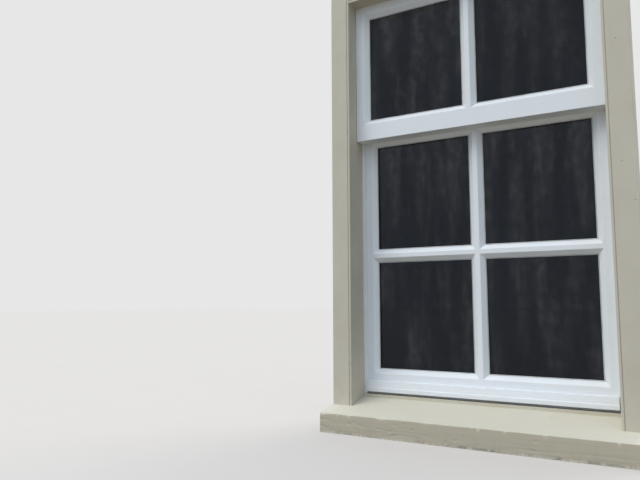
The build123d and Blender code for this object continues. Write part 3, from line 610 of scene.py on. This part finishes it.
slope = (step_foot - front_height) / (slope_end - y_front)
slope_at_frame = front_height - y_front * slope
nose_turn = np.linspace(math.pi, math.pi / 2, 7)[:-1]
nose_arc = np.stack([y_front + nose + nose * np.cos(nose_turn),
                     front_height - nose * (1 - slope) + nose * np.sin(nose_turn)], axis=1)
section = np.concatenate([
    run_of((y_front, 0.0), (y_front, foot_band), 12),
    run_of((y_front, foot_band), (y_front, front_height - nose), 36),
    nose_arc,
    run_of((y_front + nose, front_height + nose * slope), (0.0, slope_at_frame), 24, 1.4),
    run_of((0.0, slope_at_frame), (slope_end, step_foot), 14),
    run_of((slope_end, step_foot), (slope_end, z_top), 3),
    run_of((slope_end, z_top), (y_back, z_top), 4),
    run_of((y_back, z_top), (y_back, 0.0), 4),
    run_of((y_back, 0.0), (drip_far, 0.0), 4),
    run_of((drip_far, 0.0), (drip_far, drip_roof), 2),
    run_of((drip_far, drip_roof), (drip_near, drip_roof), 2),
    run_of((drip_near, drip_roof), (drip_near, 0.0), 2),
    run_of((drip_near, 0.0), (y_front, 0.0), 10, 0.7),
])
hair, station_count = 0.001 * MM, 421
shoulders = [-jamb_outside - hair, -jamb_outside, jamb_outside, jamb_outside + hair]
even = np.linspace(sill_low[0], sill_high[0], station_count)
stations = np.sort(np.concatenate([even, shoulders]))
y = np.tile(section[:, 0], (len(stations), 1))
z = np.tile(section[:, 1], (len(stations), 1))
x = np.repeat(stations[:, None], len(section), axis=1)
print("sill points:", x.shape)

# %% [markdown]
# ## Wear on the sill
# The weather and passing hands work on the front: the nose is rubbed down, most of all towards the
# left, and chipped here and there, the lower edge is nibbled, a few shallow scars cross the face,
# and the grain has risen in long furrows. Each kind of wear is a map of numbers from 0 to 1 over
# the grid, times the depth that it reaches. Points near the nose and the foot move inwards and also
# down or up, so an edge is worn round and not only pushed back. The scars are single hills with
# seeded places, and everything else is smooth noise along the sill.

# %% Sill wear
chip_depth, chip_drop = 6.0 * MM, 4.5 * MM
rub_depth, rub_drop = 2.4 * MM, 4.2 * MM
nibble_depth, nibble_rise = 2.6 * MM, 2.8 * MM
scar_depth, furrow_depth = 1.0 * MM, 1.0 * MM
nose_reach, foot_reach, face_reach = 6.5 * MM, 6.0 * MM, 1.0 * MM


def drift(place, step, seed):
    """Smooth noise along a line: seeded random heights from -1 to 1, one each step, joined by the S
    curve three times the squared share of the step less two times the cubed share. The line starts
    in the middle of the heights, so that places below zero have some too."""
    count = 4096
    heights = np.random.default_rng(seed).uniform(-1.0, 1.0, count)
    spot = np.asarray(place) / step + count / 2
    left = np.floor(spot).astype(int)
    share = spot - left
    share = share * share * (3.0 - 2.0 * share)
    return heights[left] * (1.0 - share) + heights[left + 1] * share


def scoops(x, z, count, seed):
    """Shallow scars on a face, seen square on. Each is a Gaussian hill of its own length a along a
    tilted line and width b across it, exp(-(u / a) squared - (v / b) squared), with u and v the
    place turned by the tilt. They crowd towards low x, and their sum is cut off at 1."""
    pick = np.random.default_rng(seed).uniform(size=(5, count))
    centre_x = x.min() + (x.max() - x.min()) * pick[0] ** 1.7
    centre_z = (9.0 + 50.0 * pick[1]) * MM
    length, width = (5.0 + 11.0 * pick[2] ** 2) * MM, (2.2 + 2.4 * pick[3]) * MM
    tilt = 0.9 * pick[4] - 0.45
    across, over = x[..., None] - centre_x, z[..., None] - centre_z
    u = (across * np.cos(tilt) + over * np.sin(tilt)) / length
    v = (over * np.cos(tilt) - across * np.sin(tilt)) / width
    return np.minimum(np.exp(-u ** 2 - v ** 2).sum(axis=-1), 1.0)


# how near each point is to the two front edges and to the front face, from 0 to 1
near_nose = np.exp(-(((y - y_front) ** 2 + (z - front_height) ** 2) / nose_reach ** 2))
near_foot = np.exp(-(((y - y_front) ** 2 + z ** 2) / foot_reach ** 2))
on_front = np.clip(1.0 - (y - y_front) / face_reach, 0.0, 1.0)

# one map for each kind of wear
chips = np.clip(drift(x, 24.0 * MM, 11) * 0.7 + drift(x, 7.0 * MM, 12) * 0.6 - 0.35, 0.0, 1.0)
nibbles = np.clip(drift(x, 40.0 * MM, 13) * 0.6 + drift(x, 9.0 * MM, 14) * 0.6 + 0.10, 0.0, 1.0)
rubbed = (0.2 + 0.8 * np.clip(-x / (400.0 * MM), 0.0, 1.0)) * (0.5 + 0.5 * drift(x, 32.0 * MM, 19))
scars = scoops(x, z, 22, 20) * on_front
grain = drift(x + 40.0 * z, 90.0 * MM, 15) + drift(x - 25.0 * z, 220.0 * MM, 16)
wander = 20.0 * MM * drift(x, 200.0 * MM, 17)
furrows = (grain * 0.25 + 0.5) * (0.5 + 0.5 * drift(z + wander, 8.0 * MM, 18))

# edges wear inwards and down or up, the face only inwards
edges = (chip_depth * chips + rub_depth * rubbed) * near_nose + nibble_depth * nibbles * near_foot
face = scar_depth * scars + furrow_depth * furrows * on_front * (1.0 - near_foot) * (1.0 - near_nose)
y = y + 0.8 * edges + face
drop = (chip_drop * chips + rub_drop * rubbed) * near_nose
z = z - drop + nibble_rise * nibbles * near_foot * (z < foot_band)
print("deepest wear in mm:", round(float((y - section[:, 0]).max()) / MM, 2))

# %% [markdown]
# ## Horns and ends
# Past the jambs the sill runs on as two short horns that end in line with the frame's outer face, so
# there the section loses all that lies behind that face and above the slope's height at it. The grid
# is open at its two ends, which one filled face each closes.

# %% Cut the horns, close the ends and show the sill
horn = np.abs(x) > jamb_outside + hair / 2
z = np.where(horn & (y > 0.0), np.minimum(z, slope_at_frame), z)
y = np.where(horn, np.minimum(y, 0.0), y)
sill_mesh = mesh_of("sill_surface", [(np.stack([x, y, z], axis=-1), False, True)])
work = bmesh.new()
work.from_mesh(sill_mesh)
bmesh.ops.holes_fill(work, edges=[edge for edge in work.edges if edge.is_boundary], sides=0)
bmesh.ops.recalc_face_normals(work, faces=work.faces)
work.to_mesh(sill_mesh)
work.free()
sill = show(sill_mesh, sill_paint, "frame")
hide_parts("sill")
print("sill faces:", len(sill_mesh.polygons))

# %% [markdown]
# ## Glass
# A pane in daylight looks dark from outside, because little light comes back out through it. The panes
# get a dark tint that paints the shade of the unlit room behind them, so that they stay dark on the
# pale floor too, and the clean glass mirrors less than usual. A film of dust and the ghosts of dried
# drops make the roughness uneven, and a very slow wave bends what is mirrored in them. What rain and
# wiping leave behind catches the light as a thin coat: broad upright streaks, and smaller smears that
# break them up.

# %% Glass material
glass, tree, shader, place = new_material("pane_glass")
# the tint is painted shade for the dark room behind the glass; the second colour adds dust to it
room_shade_tint, dusty_room_shade_tint = linear(68, 79, 92), linear(84, 91, 96)
dust = noise_of(tree, place, 38.0, 6.0, 0.7)
tint = blend_of(tree, band_of(tree, dust, 0.45, 0.8, 0.0, 0.5), room_shade_tint, dusty_room_shade_tint)
drops = add_node(tree, "ShaderNodeTexVoronoi", {"Vector": place, "Scale": 55.0}).outputs["Distance"]
ghost = times(tree, band_of(tree, drops, 0.05, 0.16, 1.0, 0.0), band_of(tree, dust, 0.5, 0.7))
haze = times(tree, band_of(tree, dust, 0.4, 0.75), 0.05)
rough = added(tree, haze, times(tree, ghost, 0.18), clamp=True)
streaks = noise_of(tree, stretched(tree, place, (16.0, 16.0, 2.4)), 1.0, 3.0, 0.5)
smears = noise_of(tree, stretched(tree, place, (44.0, 44.0, 26.0)), 1.0, 5.0, 0.62)
film = times(tree, band_of(tree, streaks, 0.40, 0.72), band_of(tree, smears, 0.34, 0.66, 0.35, 1.0))
film = added(tree, film, band_of(tree, smears, 0.52, 0.72, 0.0, 0.30), clamp=True)
wave = bump_of(tree, noise_of(tree, place, 3.0, 1.0, 0.4), 0.12, 2.0 * MM)
feed(tree, shader, Base_Color=tint, Roughness=rough, Normal=wave, Transmission_Weight=1.0,
     IOR=1.3, Specular_IOR_Level=0.3, Coat_Weight=film, Coat_Roughness=0.22, Coat_IOR=1.4)


def dress(node, material):
    """Gives the construction model's own mesh a finish and leaves its shape alone."""
    nodes[node].data.materials.clear()
    nodes[node].data.materials.append(material)


for pane in panes:
    dress(f"{pane}_glass", glass)
print("glass set on", len(panes), "panes")

# %% [markdown]
# ## Metal that is handled
# Ironmongery is bright where fingers and levers rub and dull in between. One group does it for
# brass, zinc and aluminium: a cloud mixes the clean metal with its tarnish, fine scratches drawn
# out along one direction break up the gloss, and both also raise the surface a little. Metallic
# itself is the same all over, so it is set on the shader, not passed through the group.

# %% Handled metal group
handled_metal, given, result = new_group(
    "handled_metal",
    [("Vector", VECTOR, (0, 0, 0)), ("Draw", VECTOR, (1, 1, 1)), ("Metal", COLOUR, (1, 1, 1, 1)),
     ("Tarnish", COLOUR, (0.5, 0.5, 0.5, 1)), ("Age", FLOAT, 0.5), ("Gloss", FLOAT, 0.3),
     ("Relief", FLOAT, 0.2)],
    [("Color", COLOUR), ("Roughness", FLOAT), ("Normal", VECTOR)])
tree = handled_metal
cloud = noise_of(tree, given["Vector"], 90.0, 5.0, 0.62)
spots = noise_of(tree, given["Vector"], 520.0, 3.0, 0.6)
scratches = noise_of(tree, stretched(tree, given["Vector"], given["Draw"]), 1.0, 3.0, 0.6)
aged = times(tree, band_of(tree, cloud, 0.40, 0.68), given["Age"])
pits = times(tree, band_of(tree, spots, 0.60, 0.78), 0.35)
aged = added(tree, aged, pits, clamp=True)
dull = added(tree, given["Gloss"], times(tree, aged, 0.28))
dull = added(tree, dull, times(tree, scratches, 0.12), clamp=True)
height = added(tree, times(tree, scratches, 0.4), times(tree, cloud, 0.6))
put_out(tree, result, Color=blend_of(tree, aged, given["Metal"], given["Tarnish"]), Roughness=dull,
        Normal=bump_of(tree, height, given["Relief"], 0.08 * MM))
print("group made:", handled_metal.name)


# %% Metal finishes
def metal(name, colour, tarnish, age, gloss, draw):
    """A metal finish: age is how far the tarnish has spread, draw the stretch of the scratches."""
    material, tree, shader, place = new_material(name)
    worn = placed(tree, handled_metal, Vector=place, Draw=draw, Metal=colour, Tarnish=tarnish, Age=age,
                  Gloss=gloss, Relief=0.30)
    feed(tree, shader, Base_Color=worn["Color"], Roughness=worn["Roughness"], Normal=worn["Normal"],
         Metallic=1.0)
    return material


brass = metal("lacquered_brass", linear(226, 198, 132), linear(186, 150, 92), 0.45, 0.13,
              (700.0, 5200.0, 5200.0))
zinc = metal("zinc_plate", linear(186, 188, 190), linear(140, 142, 146), 0.80, 0.26,
             (1800.0, 1800.0, 160.0))
mill_aluminium = metal("mill_aluminium", linear(196, 199, 202), linear(158, 162, 166), 0.45, 0.32,
                       (160.0, 2400.0, 160.0))
print("metals made:", brass.name, zinc.name, mill_aluminium.name)

# %% [markdown]
# ## Plastic, rubber and pile
# The balance sleeves are extruded, so faint lines run along them and the white has yellowed a
# little. The sliding feet are moulded nylon, with a fine eggshell grain from the mould. The seal
# under the sash is matt rubber, and the draught strips are brushed pile, which is all short
# upright hairs: very small noise with a strong bump, and a soft sheen. All of them age in clouds
# and have a skin of small noise, so one group serves them, with a stretch for the drawn-out ones.

# %% Moulded skin group
moulded_skin, given, result = new_group(
    "moulded_skin",
    [("Vector", VECTOR, (0, 0, 0)), ("Stretch", VECTOR, (1, 1, 1)), ("Grain", FLOAT, 1.0),
     ("Fresh", COLOUR, (1, 1, 1, 1)), ("Aged", COLOUR, (0.5, 0.5, 0.5, 1)), ("Gloss", FLOAT, 0.4),
     ("Depth", FLOAT, 0.0001)],
    [("Color", COLOUR), ("Roughness", FLOAT), ("Normal", VECTOR)])
tree = moulded_skin
cloud = noise_of(tree, given["Vector"], 22.0, 4.0, 0.6)
fine = noise_of(tree, stretched(tree, given["Vector"], given["Stretch"]), given["Grain"], 2.0, 0.5)
tone = added(tree, band_of(tree, cloud, 0.36, 0.70, 0.0, 0.7),
             band_of(tree, fine, 0.50, 0.80, 0.0, 0.3), clamp=True)
dull = added(tree, given["Gloss"], times(tree, cloud, 0.12))
dull = added(tree, dull, times(tree, fine, 0.16), clamp=True)
put_out(tree, result, Color=blend_of(tree, tone, given["Fresh"], given["Aged"]), Roughness=dull,
        Normal=bump_of(tree, fine, 0.4, given["Depth"]))
print("group made:", moulded_skin.name)


# %% Plastic, rubber and pile finishes
def moulded(name, fresh, aged, gloss, grain, stretch, depth):
    """A plastic, rubber or mastic: fresh and aged are its two colours, grain the fineness of its
    skin, stretch how far that is drawn out along each axis, and depth its height in metres."""
    material, tree, shader, place = new_material(name)
    skin = placed(tree, moulded_skin, Vector=place, Stretch=stretch, Grain=grain, Fresh=fresh,
                  Aged=aged, Gloss=gloss, Depth=depth)
    feed(tree, shader, Base_Color=skin["Color"], Roughness=skin["Roughness"], Normal=skin["Normal"],
         IOR=1.5)
    return material


sleeve = moulded("sleeve_plastic", linear(228, 228, 222), linear(212, 208, 190), 0.24, 1.0,
                 (1500.0, 1500.0, 25.0), 0.1 * MM)
nylon = moulded("moulded_nylon", linear(216, 214, 204), linear(188, 184, 168), 0.34, 900.0,
                (1.0, 1.0, 1.0), 0.1 * MM)
black_rubber = moulded("seal_rubber", linear(34, 34, 36), linear(66, 65, 62), 0.62, 1.0,
                       (40.0, 1600.0, 1600.0), 0.2 * MM)
brushed_pile = moulded("draught_pile", linear(112, 112, 110), linear(66, 66, 66), 0.80, 2600.0,
                       (1.0, 1.0, 0.5), 0.8 * MM)
pile_shader = brushed_pile.node_tree.nodes["Principled BSDF"]
pile_shader.inputs["Sheen Weight"].default_value = 0.5
pile_shader.inputs["Sheen Roughness"].default_value = 0.5
putty = moulded("glazing_sealant", linear(206, 208, 207), linear(168, 168, 160), 0.52, 380.0,
                (1.0, 1.0, 1.0), 0.2 * MM)
print("finishes made:", [finish.name for finish in (sleeve, nylon, black_rubber, brushed_pile, putty)])

# %% [markdown]
# ## Ironmongery
# The cast pieces keep their construction shape, eased like the timber but with finer edges. Their
# bevels are narrow where two pieces slide on each other, wider on the part that a hand takes hold of:
# the knob of the lever.

# %% Ease the ironmongery
hands = {"left": -1, "right": 1}
for hand in hands:
    ease(f"{hand}_fastener_base", 0.4 * MM, brass, segments=3, clamp=False)
    ease(f"{hand}_lever", 0.7 * MM, brass, segments=3, clamp=False)
    ease(f"{hand}_keep", 0.25 * MM, brass)
    ease(f"{hand}_balance_tube", 0.3 * MM, sleeve, clamp=False)
    ease(f"{hand}_balance_foot", 0.5 * MM, nylon, clamp=False)
dress("bottom_rail_seal", black_rubber)
dress("track_seals", brushed_pile)
for pane in panes:
    dress(f"{pane}_spacer", mill_aluminium)
print("ironmongery eased for", len(hands), "sides")

# %% [markdown]
# ## Sash lifts
# A lift is a bowed strap that a hand hooks under, cast in one with a round rose at each foot. The
# strap is a section carried along a path: out of the first rose, round a bend, along, round the
# second bend and back. The path is three straight runs and two quarter circles, worked out as one
# array of points with the direction of travel at each. The section is a soft rectangle that swells
# a little in the middle, where the fingers go, and flares where it meets the roses. A curve object
# could carry a section too, but there the swell and the flare would be set point by point, and here
# each is one line.

# %% Carried sections
def capped(rows):
    """Closes a carried section at both ends: its own middle, repeated, goes before the first row
    and after the last, so that the end faces meet in one point when the mesh is cleaned."""
    first, last = (np.broadcast_to(row.mean(axis=0), row.shape)[None] for row in (rows[0], rows[-1]))
    return np.concatenate([first, rows, last])


def soft_section(count, width, height, power):
    """A closed section between an oval and a rectangle, as points across and up. At each angle it
    is half the width times the cosine and half the height times the sine, each of the two raised to
    a power with its sign kept; the smaller the power, the squarer the section."""
    angle = np.linspace(0.0, 2.0 * math.pi, count + 1)[:-1]
    cosine, sine = np.cos(angle), np.sin(angle)
    across = np.sign(cosine) * np.abs(cosine) ** power * width / 2
    upward = np.sign(sine) * np.abs(sine) ** power * height / 2
    return across, upward


print("points of a soft section:", len(soft_section(24, 1.0, 1.0, 0.6)[0]))

# %% Bowed straps
def bow_path(centre_x, root_y, reach_y, half_span, bend):
    """Points (x, y) and headings along the bow. Each quarter circle has its centre one bend radius
    in from the corner; its points lie at centre plus radius times cosine and sine of the angle,
    and the heading is square to that angle."""
    turn = np.linspace(math.pi, math.pi / 2, 13)
    run = np.linspace(root_y, reach_y - bend, 7)[:-1]
    left, right = centre_x - half_span, centre_x + half_span
    out = np.stack([np.full_like(run, left), run, np.full_like(run, math.pi / 2)], axis=1)
    first = np.stack([left + bend + bend * np.cos(turn), reach_y - bend + bend * np.sin(turn),
                      turn - math.pi / 2], axis=1)
    along = np.linspace(left + bend, right - bend, 24)[1:-1]
    middle = np.stack([along, np.full_like(along, reach_y), np.zeros_like(along)], axis=1)
    half = np.concatenate([out, first])
    back = half[::-1] * (-1.0, 1.0, -1.0) + (2.0 * centre_x, 0.0, 0.0)
    return np.concatenate([half, middle, back])


def bow_strap(path, level, thickness, height):
    """Carries a soft section along the path, square to the heading. Its height is nine tenths plus
    one tenth of the sine of pi times the share of the way along. The whole section also grows by a
    quarter of exp(-(d / 3 mm) squared), with d the way to the nearer end."""
    across, upward = soft_section(24, thickness, height, 0.6)
    steps = np.linalg.norm(np.diff(path[:, :2], axis=0), axis=1)
    gone = np.concatenate([[0.0], np.cumsum(steps)])
    end = np.minimum(gone, gone[-1] - gone)
    flare = 1.0 + 0.25 * np.exp(-(end / (3.0 * MM)) ** 2)
    swell = (0.9 + 0.1 * np.sin(math.pi * gone / gone[-1])) * flare
    normal = np.stack([-np.sin(path[:, 2]), np.cos(path[:, 2])], axis=1)
    xy = path[:, None, :2] + normal[:, None] * (flare[:, None] * across)[..., None]
    z = level + swell[:, None] * upward
    return capped(np.concatenate([xy, z[..., None]], axis=2))


def rose(centre, radius, depth):
    """A turned disc that faces +Y. Its outline, as share of the radius and share of the depth,
    runs up the rim, over a rounded edge, down into a shallow ring and up to a flat middle. Turned
    about the centre, x and z are the radius times the cosine and sine of the angle, y the depth."""
    outline = np.array([(0.0, 0.0), (1.0, 0.0), (1.0, 0.45), (0.985, 0.62), (0.94, 0.76), (0.87, 0.80),
                        (0.80, 0.74), (0.74, 0.72), (0.68, 0.80), (0.62, 0.94), (0.56, 1.0),
                        (0.0, 1.0)])
    angle = np.linspace(0.0, 2.0 * math.pi, 49)[:-1]
    r, d = outline[:, :1] * radius, outline[:, 1:] * depth
    x = centre[0] + r * np.cos(angle)
    z = centre[2] + r * np.sin(angle)
    return np.stack([x, centre[1] + np.repeat(d, len(angle), axis=1), z], axis=-1)


# %% Make the two lifts
def box_of(node):
    """The low corner, the middle and the high corner of a node's box, as arrays."""
    low, high = np.array(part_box(node))
    return low, (low + high) / 2, high


strap_thickness, strap_height, strap_bend, rose_depth = 6.0 * MM, 10.0 * MM, 14.0 * MM, 3.0 * MM
for hand in hands:
    low, centre, high = box_of(f"{hand}_sash_lift")
    rose_radius = (high[2] - low[2]) / 2
    half_span = (high[0] - low[0]) / 2 - rose_radius
    root_y, reach_y = low[1] + 0.6 * rose_depth, high[1] - strap_thickness / 2
    path = bow_path(centre[0], root_y, reach_y, half_span, strap_bend)
    strap = bow_strap(path, centre[2], strap_thickness, strap_height)
    feet = [(centre[0] + end * half_span, low[1], centre[2]) for end in (-1, 1)]
    grids = [strap] + [rose(foot, rose_radius, rose_depth) for foot in feet]
    bow = mesh_of(f"{hand}_lift_bow", [(grid, False, True) for grid in grids])
    piece = show(bow, brass, "lower_sash", crease=50.0)
    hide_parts(f"{hand}_sash_lift")
    print(hand, "lift path points:", len(path))

# %% [markdown]
# ## Screws
# Every plate is held by screws with a single slot. A Boolean cut would leave long thin faces round
# the slot, so a head is made as a stack of slices across it: each slice is a closed loop that runs
# over the top from edge to edge and comes back along the cone below. The slices at the slot's two
# sides come twice, once at the top and once at the slot's floor, and that makes its sides upright.
# The first and last slices shrink to a point.

# %% Screw heads
def screw_head(centre, facing, radius, dome, turn, slot_width=0.2, slot_depth=0.35, cone=0.45):
    """A slotted head as a grid of points. Seen along its axis it is a disc: the slice at distance
    a from the middle is as long as the chord, two times the root of radius squared less a squared.
    The top is the height dome times one less the squared distance from the axis over the squared
    radius. Slices within the slot stand lower by its depth. Half a radius below, the loop is the
    same chord, drawn in by the cone's share. facing is the direction that the head looks along."""
    half = slot_width * radius
    outside = radius * np.sin(np.linspace(math.pi / 2, 0.0, 9))
    outside = outside[outside > half]
    across = np.concatenate([-outside, [-half, -half], [0.0], [half, half], outside[::-1]])
    sunk = np.zeros(len(across))
    middle = len(outside)
    sunk[middle + 1:middle + 4] = slot_depth * radius
    chord = np.sqrt(np.maximum(radius ** 2 - across ** 2, 0.0))
    share = np.linspace(-1.0, 1.0, 13)
    along = chord[:, None] * share
    a = np.repeat(across[:, None], len(share), axis=1)
    top = dome * (1.0 - (a ** 2 + along ** 2) / radius ** 2) - sunk[:, None]
    upper = np.stack([a, along, top], axis=-1)
    lower = np.stack([a * cone, along * cone, np.full_like(a, -0.5 * radius)], axis=-1)[:, ::-1]
    loop = np.concatenate([upper, lower], axis=1)
    facing = np.array(facing, float)
    any_other_way = [0.31, 0.67, 0.52]
    first = np.cross(facing, any_other_way)
    first = first / np.linalg.norm(first)
    second = np.cross(facing, first)
    over_slot = math.cos(turn) * first + math.sin(turn) * second
    along_slot = math.cos(turn) * second - math.sin(turn) * first
    return np.array(centre) + loop @ np.stack([over_slot, along_slot, facing])


def screws(name, places, facing, finish, body, radius, dome, slot_depth=0.35):
    """All screws of one plate as one piece; each is turned to an angle of its own. Returns how
    many there are."""
    heads = [screw_head(place, facing, radius, dome, 0.7 + 1.9 * number, slot_depth=slot_depth)
             for number, place in enumerate(places)]
    show(mesh_of(name, [(head, False, True) for head in heads]), finish, body)
    return len(places)


# %% Set the screws
base_plate, base_spread, base_proud = 3.0 * MM, 22.0 * MM, 0.3 * MM
keep_spread, keep_proud = 24.5 * MM, 0.03 * MM
lift_spread, lift_rise, lift_seat = 50.0 * MM, 8.6 * MM, 2.2 * MM
lug_face, lug_proud, lug_drop = 424.45 * MM, 0.4 * MM, 12.0 * MM
both = (-1, 1)
screw_count = 0
for hand, side in hands.items():
    low, middle, high = box_of(f"{hand}_fastener_base")
    plate_top = low[2] + base_plate
    places = [(middle[0] + end * base_spread, middle[1], plate_top + base_proud) for end in both]
    screw_count += screws(f"{hand}_base_screws", places, (0, 0, 1), brass, "lower_sash",
                          radius=3.6 * MM, dome=1.3 * MM)

    low, middle, high = box_of(f"{hand}_keep")
    places = [(middle[0] + end * keep_spread, high[1] + keep_proud, middle[2]) for end in both]
    screw_count += screws(f"{hand}_keep_screws", places, (0, 1, 0), brass, "frame",
                          radius=3.0 * MM, dome=0.33 * MM, slot_depth=0.1)

    low, middle, high = box_of(f"{hand}_sash_lift")
    places = [(middle[0] + end * lift_spread, low[1] + lift_seat, middle[2] + above * lift_rise)
              for end in both for above in both]
    screw_count += screws(f"{hand}_lift_screws", places, (0, 1, 0), brass, "lower_sash",
                          radius=2.4 * MM, dome=1.0 * MM, slot_depth=0.3)

    low, middle, high = box_of(f"{hand}_balance_tube")
    places = [(side * (lug_face - lug_proud), middle[1], high[2] - lug_drop)]
    screw_count += screws(f"{hand}_tube_screw", places, (-side, 0, 0), zinc, "frame",
                          radius=3.9 * MM, dome=1.4 * MM)
print("screws made:", screw_count)

# %% [markdown]
# ## The spiral strips
# What hangs the lower sash on each side is a flat steel strip twisted like a drill, which turns
# through a bush at the foot of the sleeve. The construction model has a plain round rod in its
# place. The strip is one rounded flat section carried straight up while it turns: a grid with height
# one way and round the section the other, so that the turn is an exact function of the height.

# %% Twisted strips
def twisted_strip(axis, foot, head, width, thickness, pitch):
    """Height from foot to head, one slice each two millimetres. Each slice is a soft section u
    wide and v thick, turned by one full turn for each pitch of height: its x is u times the cosine
    of the turn less v times the sine, its y is u times the sine plus v times the cosine."""
    heights = np.linspace(foot, head, int((head - foot) / (2.0 * MM)) + 1)
    u, v = soft_section(16, width, thickness, 0.5)
    turn = 2.0 * math.pi * (heights[:, None] - foot) / pitch
    x = axis[0] + u * np.cos(turn) - v * np.sin(turn)
    y = axis[1] + u * np.sin(turn) + v * np.cos(turn)
    return capped(np.stack([x, y, np.repeat(heights[:, None], len(u), axis=1)], axis=-1))


strip_width, strip_thickness, strip_pitch = 6.6 * MM, 1.5 * MM, 26.0 * MM
for hand in hands:
    low, axis, high = box_of(f"{hand}_balance_rod")
    grid = twisted_strip(axis, low[2], high[2], strip_width, strip_thickness, strip_pitch)
    spiral = mesh_of(f"{hand}_spiral_strip", [(grid, False, True)])
    strip = show(spiral, zinc, "lower_sash", crease=50.0)
    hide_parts(f"{hand}_balance_rod")
print("strips made:", len(hands))

# %% [markdown]
# ## Sealant round the glass
# Outside, the glazing is finished with a thin hollow bead of sealant in the corner between the
# timber and the glass. It is a frame with four mitres: a small closed section, drawn as how far it
# comes in over the glass and how far it stands off it, and carried round four corners. As a grid,
# each mitre is one column of points, and the corners come out sharp.

# %% Sealant beads
def sealant_ring(low, high, glass_face, over, stand):
    """Rows are the points of the section, a quarter hollow: the share in over the glass is one
    less the sine of the angle and the share off it one less the cosine. Its back reaches a little
    under the timber. Columns are the four corners of the sight opening, each moved inwards by the
    share along both directions."""
    angle, under = np.linspace(0.0, math.pi / 2, 6), 0.3 * MM
    inward = np.concatenate([over * (1.0 - np.sin(angle)), [-under, -under]])
    off = np.concatenate([stand * (1.0 - np.cos(angle)), [stand, 0.0]])
    corner_x = np.array([low[0], high[0], high[0], low[0]])
    corner_z = np.array([low[2], low[2], high[2], high[2]])
    toward_x, toward_z = np.array([1, -1, -1, 1]), np.array([1, 1, -1, -1])
    x = corner_x + inward[:, None] * toward_x
    z = corner_z + inward[:, None] * toward_z
    y = np.repeat(glass_face - off[:, None], 4, axis=1)
    return np.stack([x, y, z], axis=-1)


glass_in_rebate, bead_size = 9.0 * MM, 2.2 * MM
for pane in panes:
    low, high = np.array(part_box(f"{pane}_glass"))
    low, high = low + glass_in_rebate, high - glass_in_rebate
    ring = sealant_ring(low, high, low[1] - glass_in_rebate, bead_size, bead_size)
    body = "frame" if pane.startswith("upper") else "lower_sash"
    show(mesh_of(f"{pane}_sealant", [(ring, True, True)]), putty, body, crease=40.0)
print("sealant rings:", len(panes))

# %% [markdown]
# ## Floor, lamps and daylight
# The window stands on a plain pale floor. A sun with a wide spread lights an even floor as far as
# the eye sees, where a lamp would leave a bright pool under it, and its shadows are as soft as an
# overcast sky's. One shines on each side of the window. The world gives the rest of the light,
# brighter from above as daylight is, while the eye, mirrors and glass see it as one pale backdrop.

# %% Stage
def seen_directly(tree):
    """1 for rays from the eye, off a mirror or through glass, 0 for rays that only carry light."""
    path = add_node(tree, "ShaderNodeLightPath").outputs
    bounced = math_of(tree, "MAXIMUM", path["Is Glossy Ray"], path["Is Transmission Ray"])
    return math_of(tree, "MAXIMUM", path["Is Camera Ray"], bounced)


floor_half = 30.0
corners = np.array([[-1, -1, 0], [1, -1, 0], [1, 1, 0], [-1, 1, 0]]) * floor_half
floor_mesh = bpy.data.meshes.new("floor")
floor_mesh.from_pydata(corners.tolist(), [], [[0, 1, 2, 3]])
floor = bpy.data.objects.new("floor", floor_mesh)
bpy.context.scene.collection.objects.link(floor)
floor_material, tree, shader, place = new_material("floor_paper")
dark_paper, light_paper = (0.385, 0.35, 0.317, 1), (0.405, 0.37, 0.336, 1)
ground_tone, unlit, lit_paper = (0.20, 0.172, 0.135, 1), (0.0, 0.0, 0.0, 1), (0.25, 0.25, 0.25, 1)
fleck = noise_of(tree, place, 3.0, 3.0, 0.5)
paper = blend_of(tree, fleck, dark_paper, light_paper)
seen = seen_directly(tree)
feed(tree, shader, Base_Color=blend_of(tree, seen, ground_tone, paper), Roughness=0.95,
     Specular_IOR_Level=0.0, Emission_Strength=1.0,
     Emission_Color=blend_of(tree, seen, unlit, lit_paper))
floor_mesh.materials.append(floor_material)
floor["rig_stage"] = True
print("floor laid, metres across:", 2 * floor_half)

# %% Suns
sun_spread, warm_white = math.radians(38.0), (1.0, 0.95, 0.86)


def soft_sun(name, toward, strength):
    """A sun that shines from a direction: its own Z points back at where the light comes from. Its
    wide spread makes the shadows soft."""
    data = bpy.data.lights.new(name, "SUN")
    data.energy, data.angle, data.color = strength, sun_spread, warm_white
    lamp = bpy.data.objects.new(name, data)
    bpy.context.scene.collection.objects.link(lamp)
    away = np.array(toward) / np.linalg.norm(toward)
    side = np.cross([0.0, 0.0, 1.0], away)
    side = side / np.linalg.norm(side)
    lamp.matrix_world = matrix_of(side, np.cross(away, side), away)
    lamp.visible_glossy = lamp.visible_transmission = lamp.visible_camera = False


soft_sun("outdoor_sun", (-2.0, -2.6, 4.2), 1.52)
soft_sun("indoor_sun", (1.2, 3.2, 3.6), 0.9)
print("suns set:", len(bpy.data.lights))

# %% Daylight
horizon, zenith, backdrop = (0.50, 0.59, 0.72, 1), (0.87, 1.03, 1.24, 1), (0.80, 0.80, 0.80, 1)
world = bpy.data.worlds.new("daylight")
world.use_nodes = True
tree = world.node_tree
tree.nodes.clear()
climb = parts_of(tree, add_node(tree, "ShaderNodeTexCoord").outputs["Generated"])["Z"]
sky = blend_of(tree, band_of(tree, climb, 0.0, 0.9), horizon, zenith)
shade = blend_of(tree, seen_directly(tree), sky, backdrop)
background = add_node(tree, "ShaderNodeBackground", {"Color": shade, "Strength": 1.0})
output = add_node(tree, "ShaderNodeOutputWorld")
tree.links.new(background.outputs[0], output.inputs["Surface"])
bpy.context.scene.world = world
print("world set:", world.name)

# %% [markdown]
# ## Sizes
# The looks must not change the size of the window, so the size of the dressed window is printed.

# %% Print the size of the dressed window
low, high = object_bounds()
print("visual size:", [round(b - a, 4) for a, b in zip(low, high)])
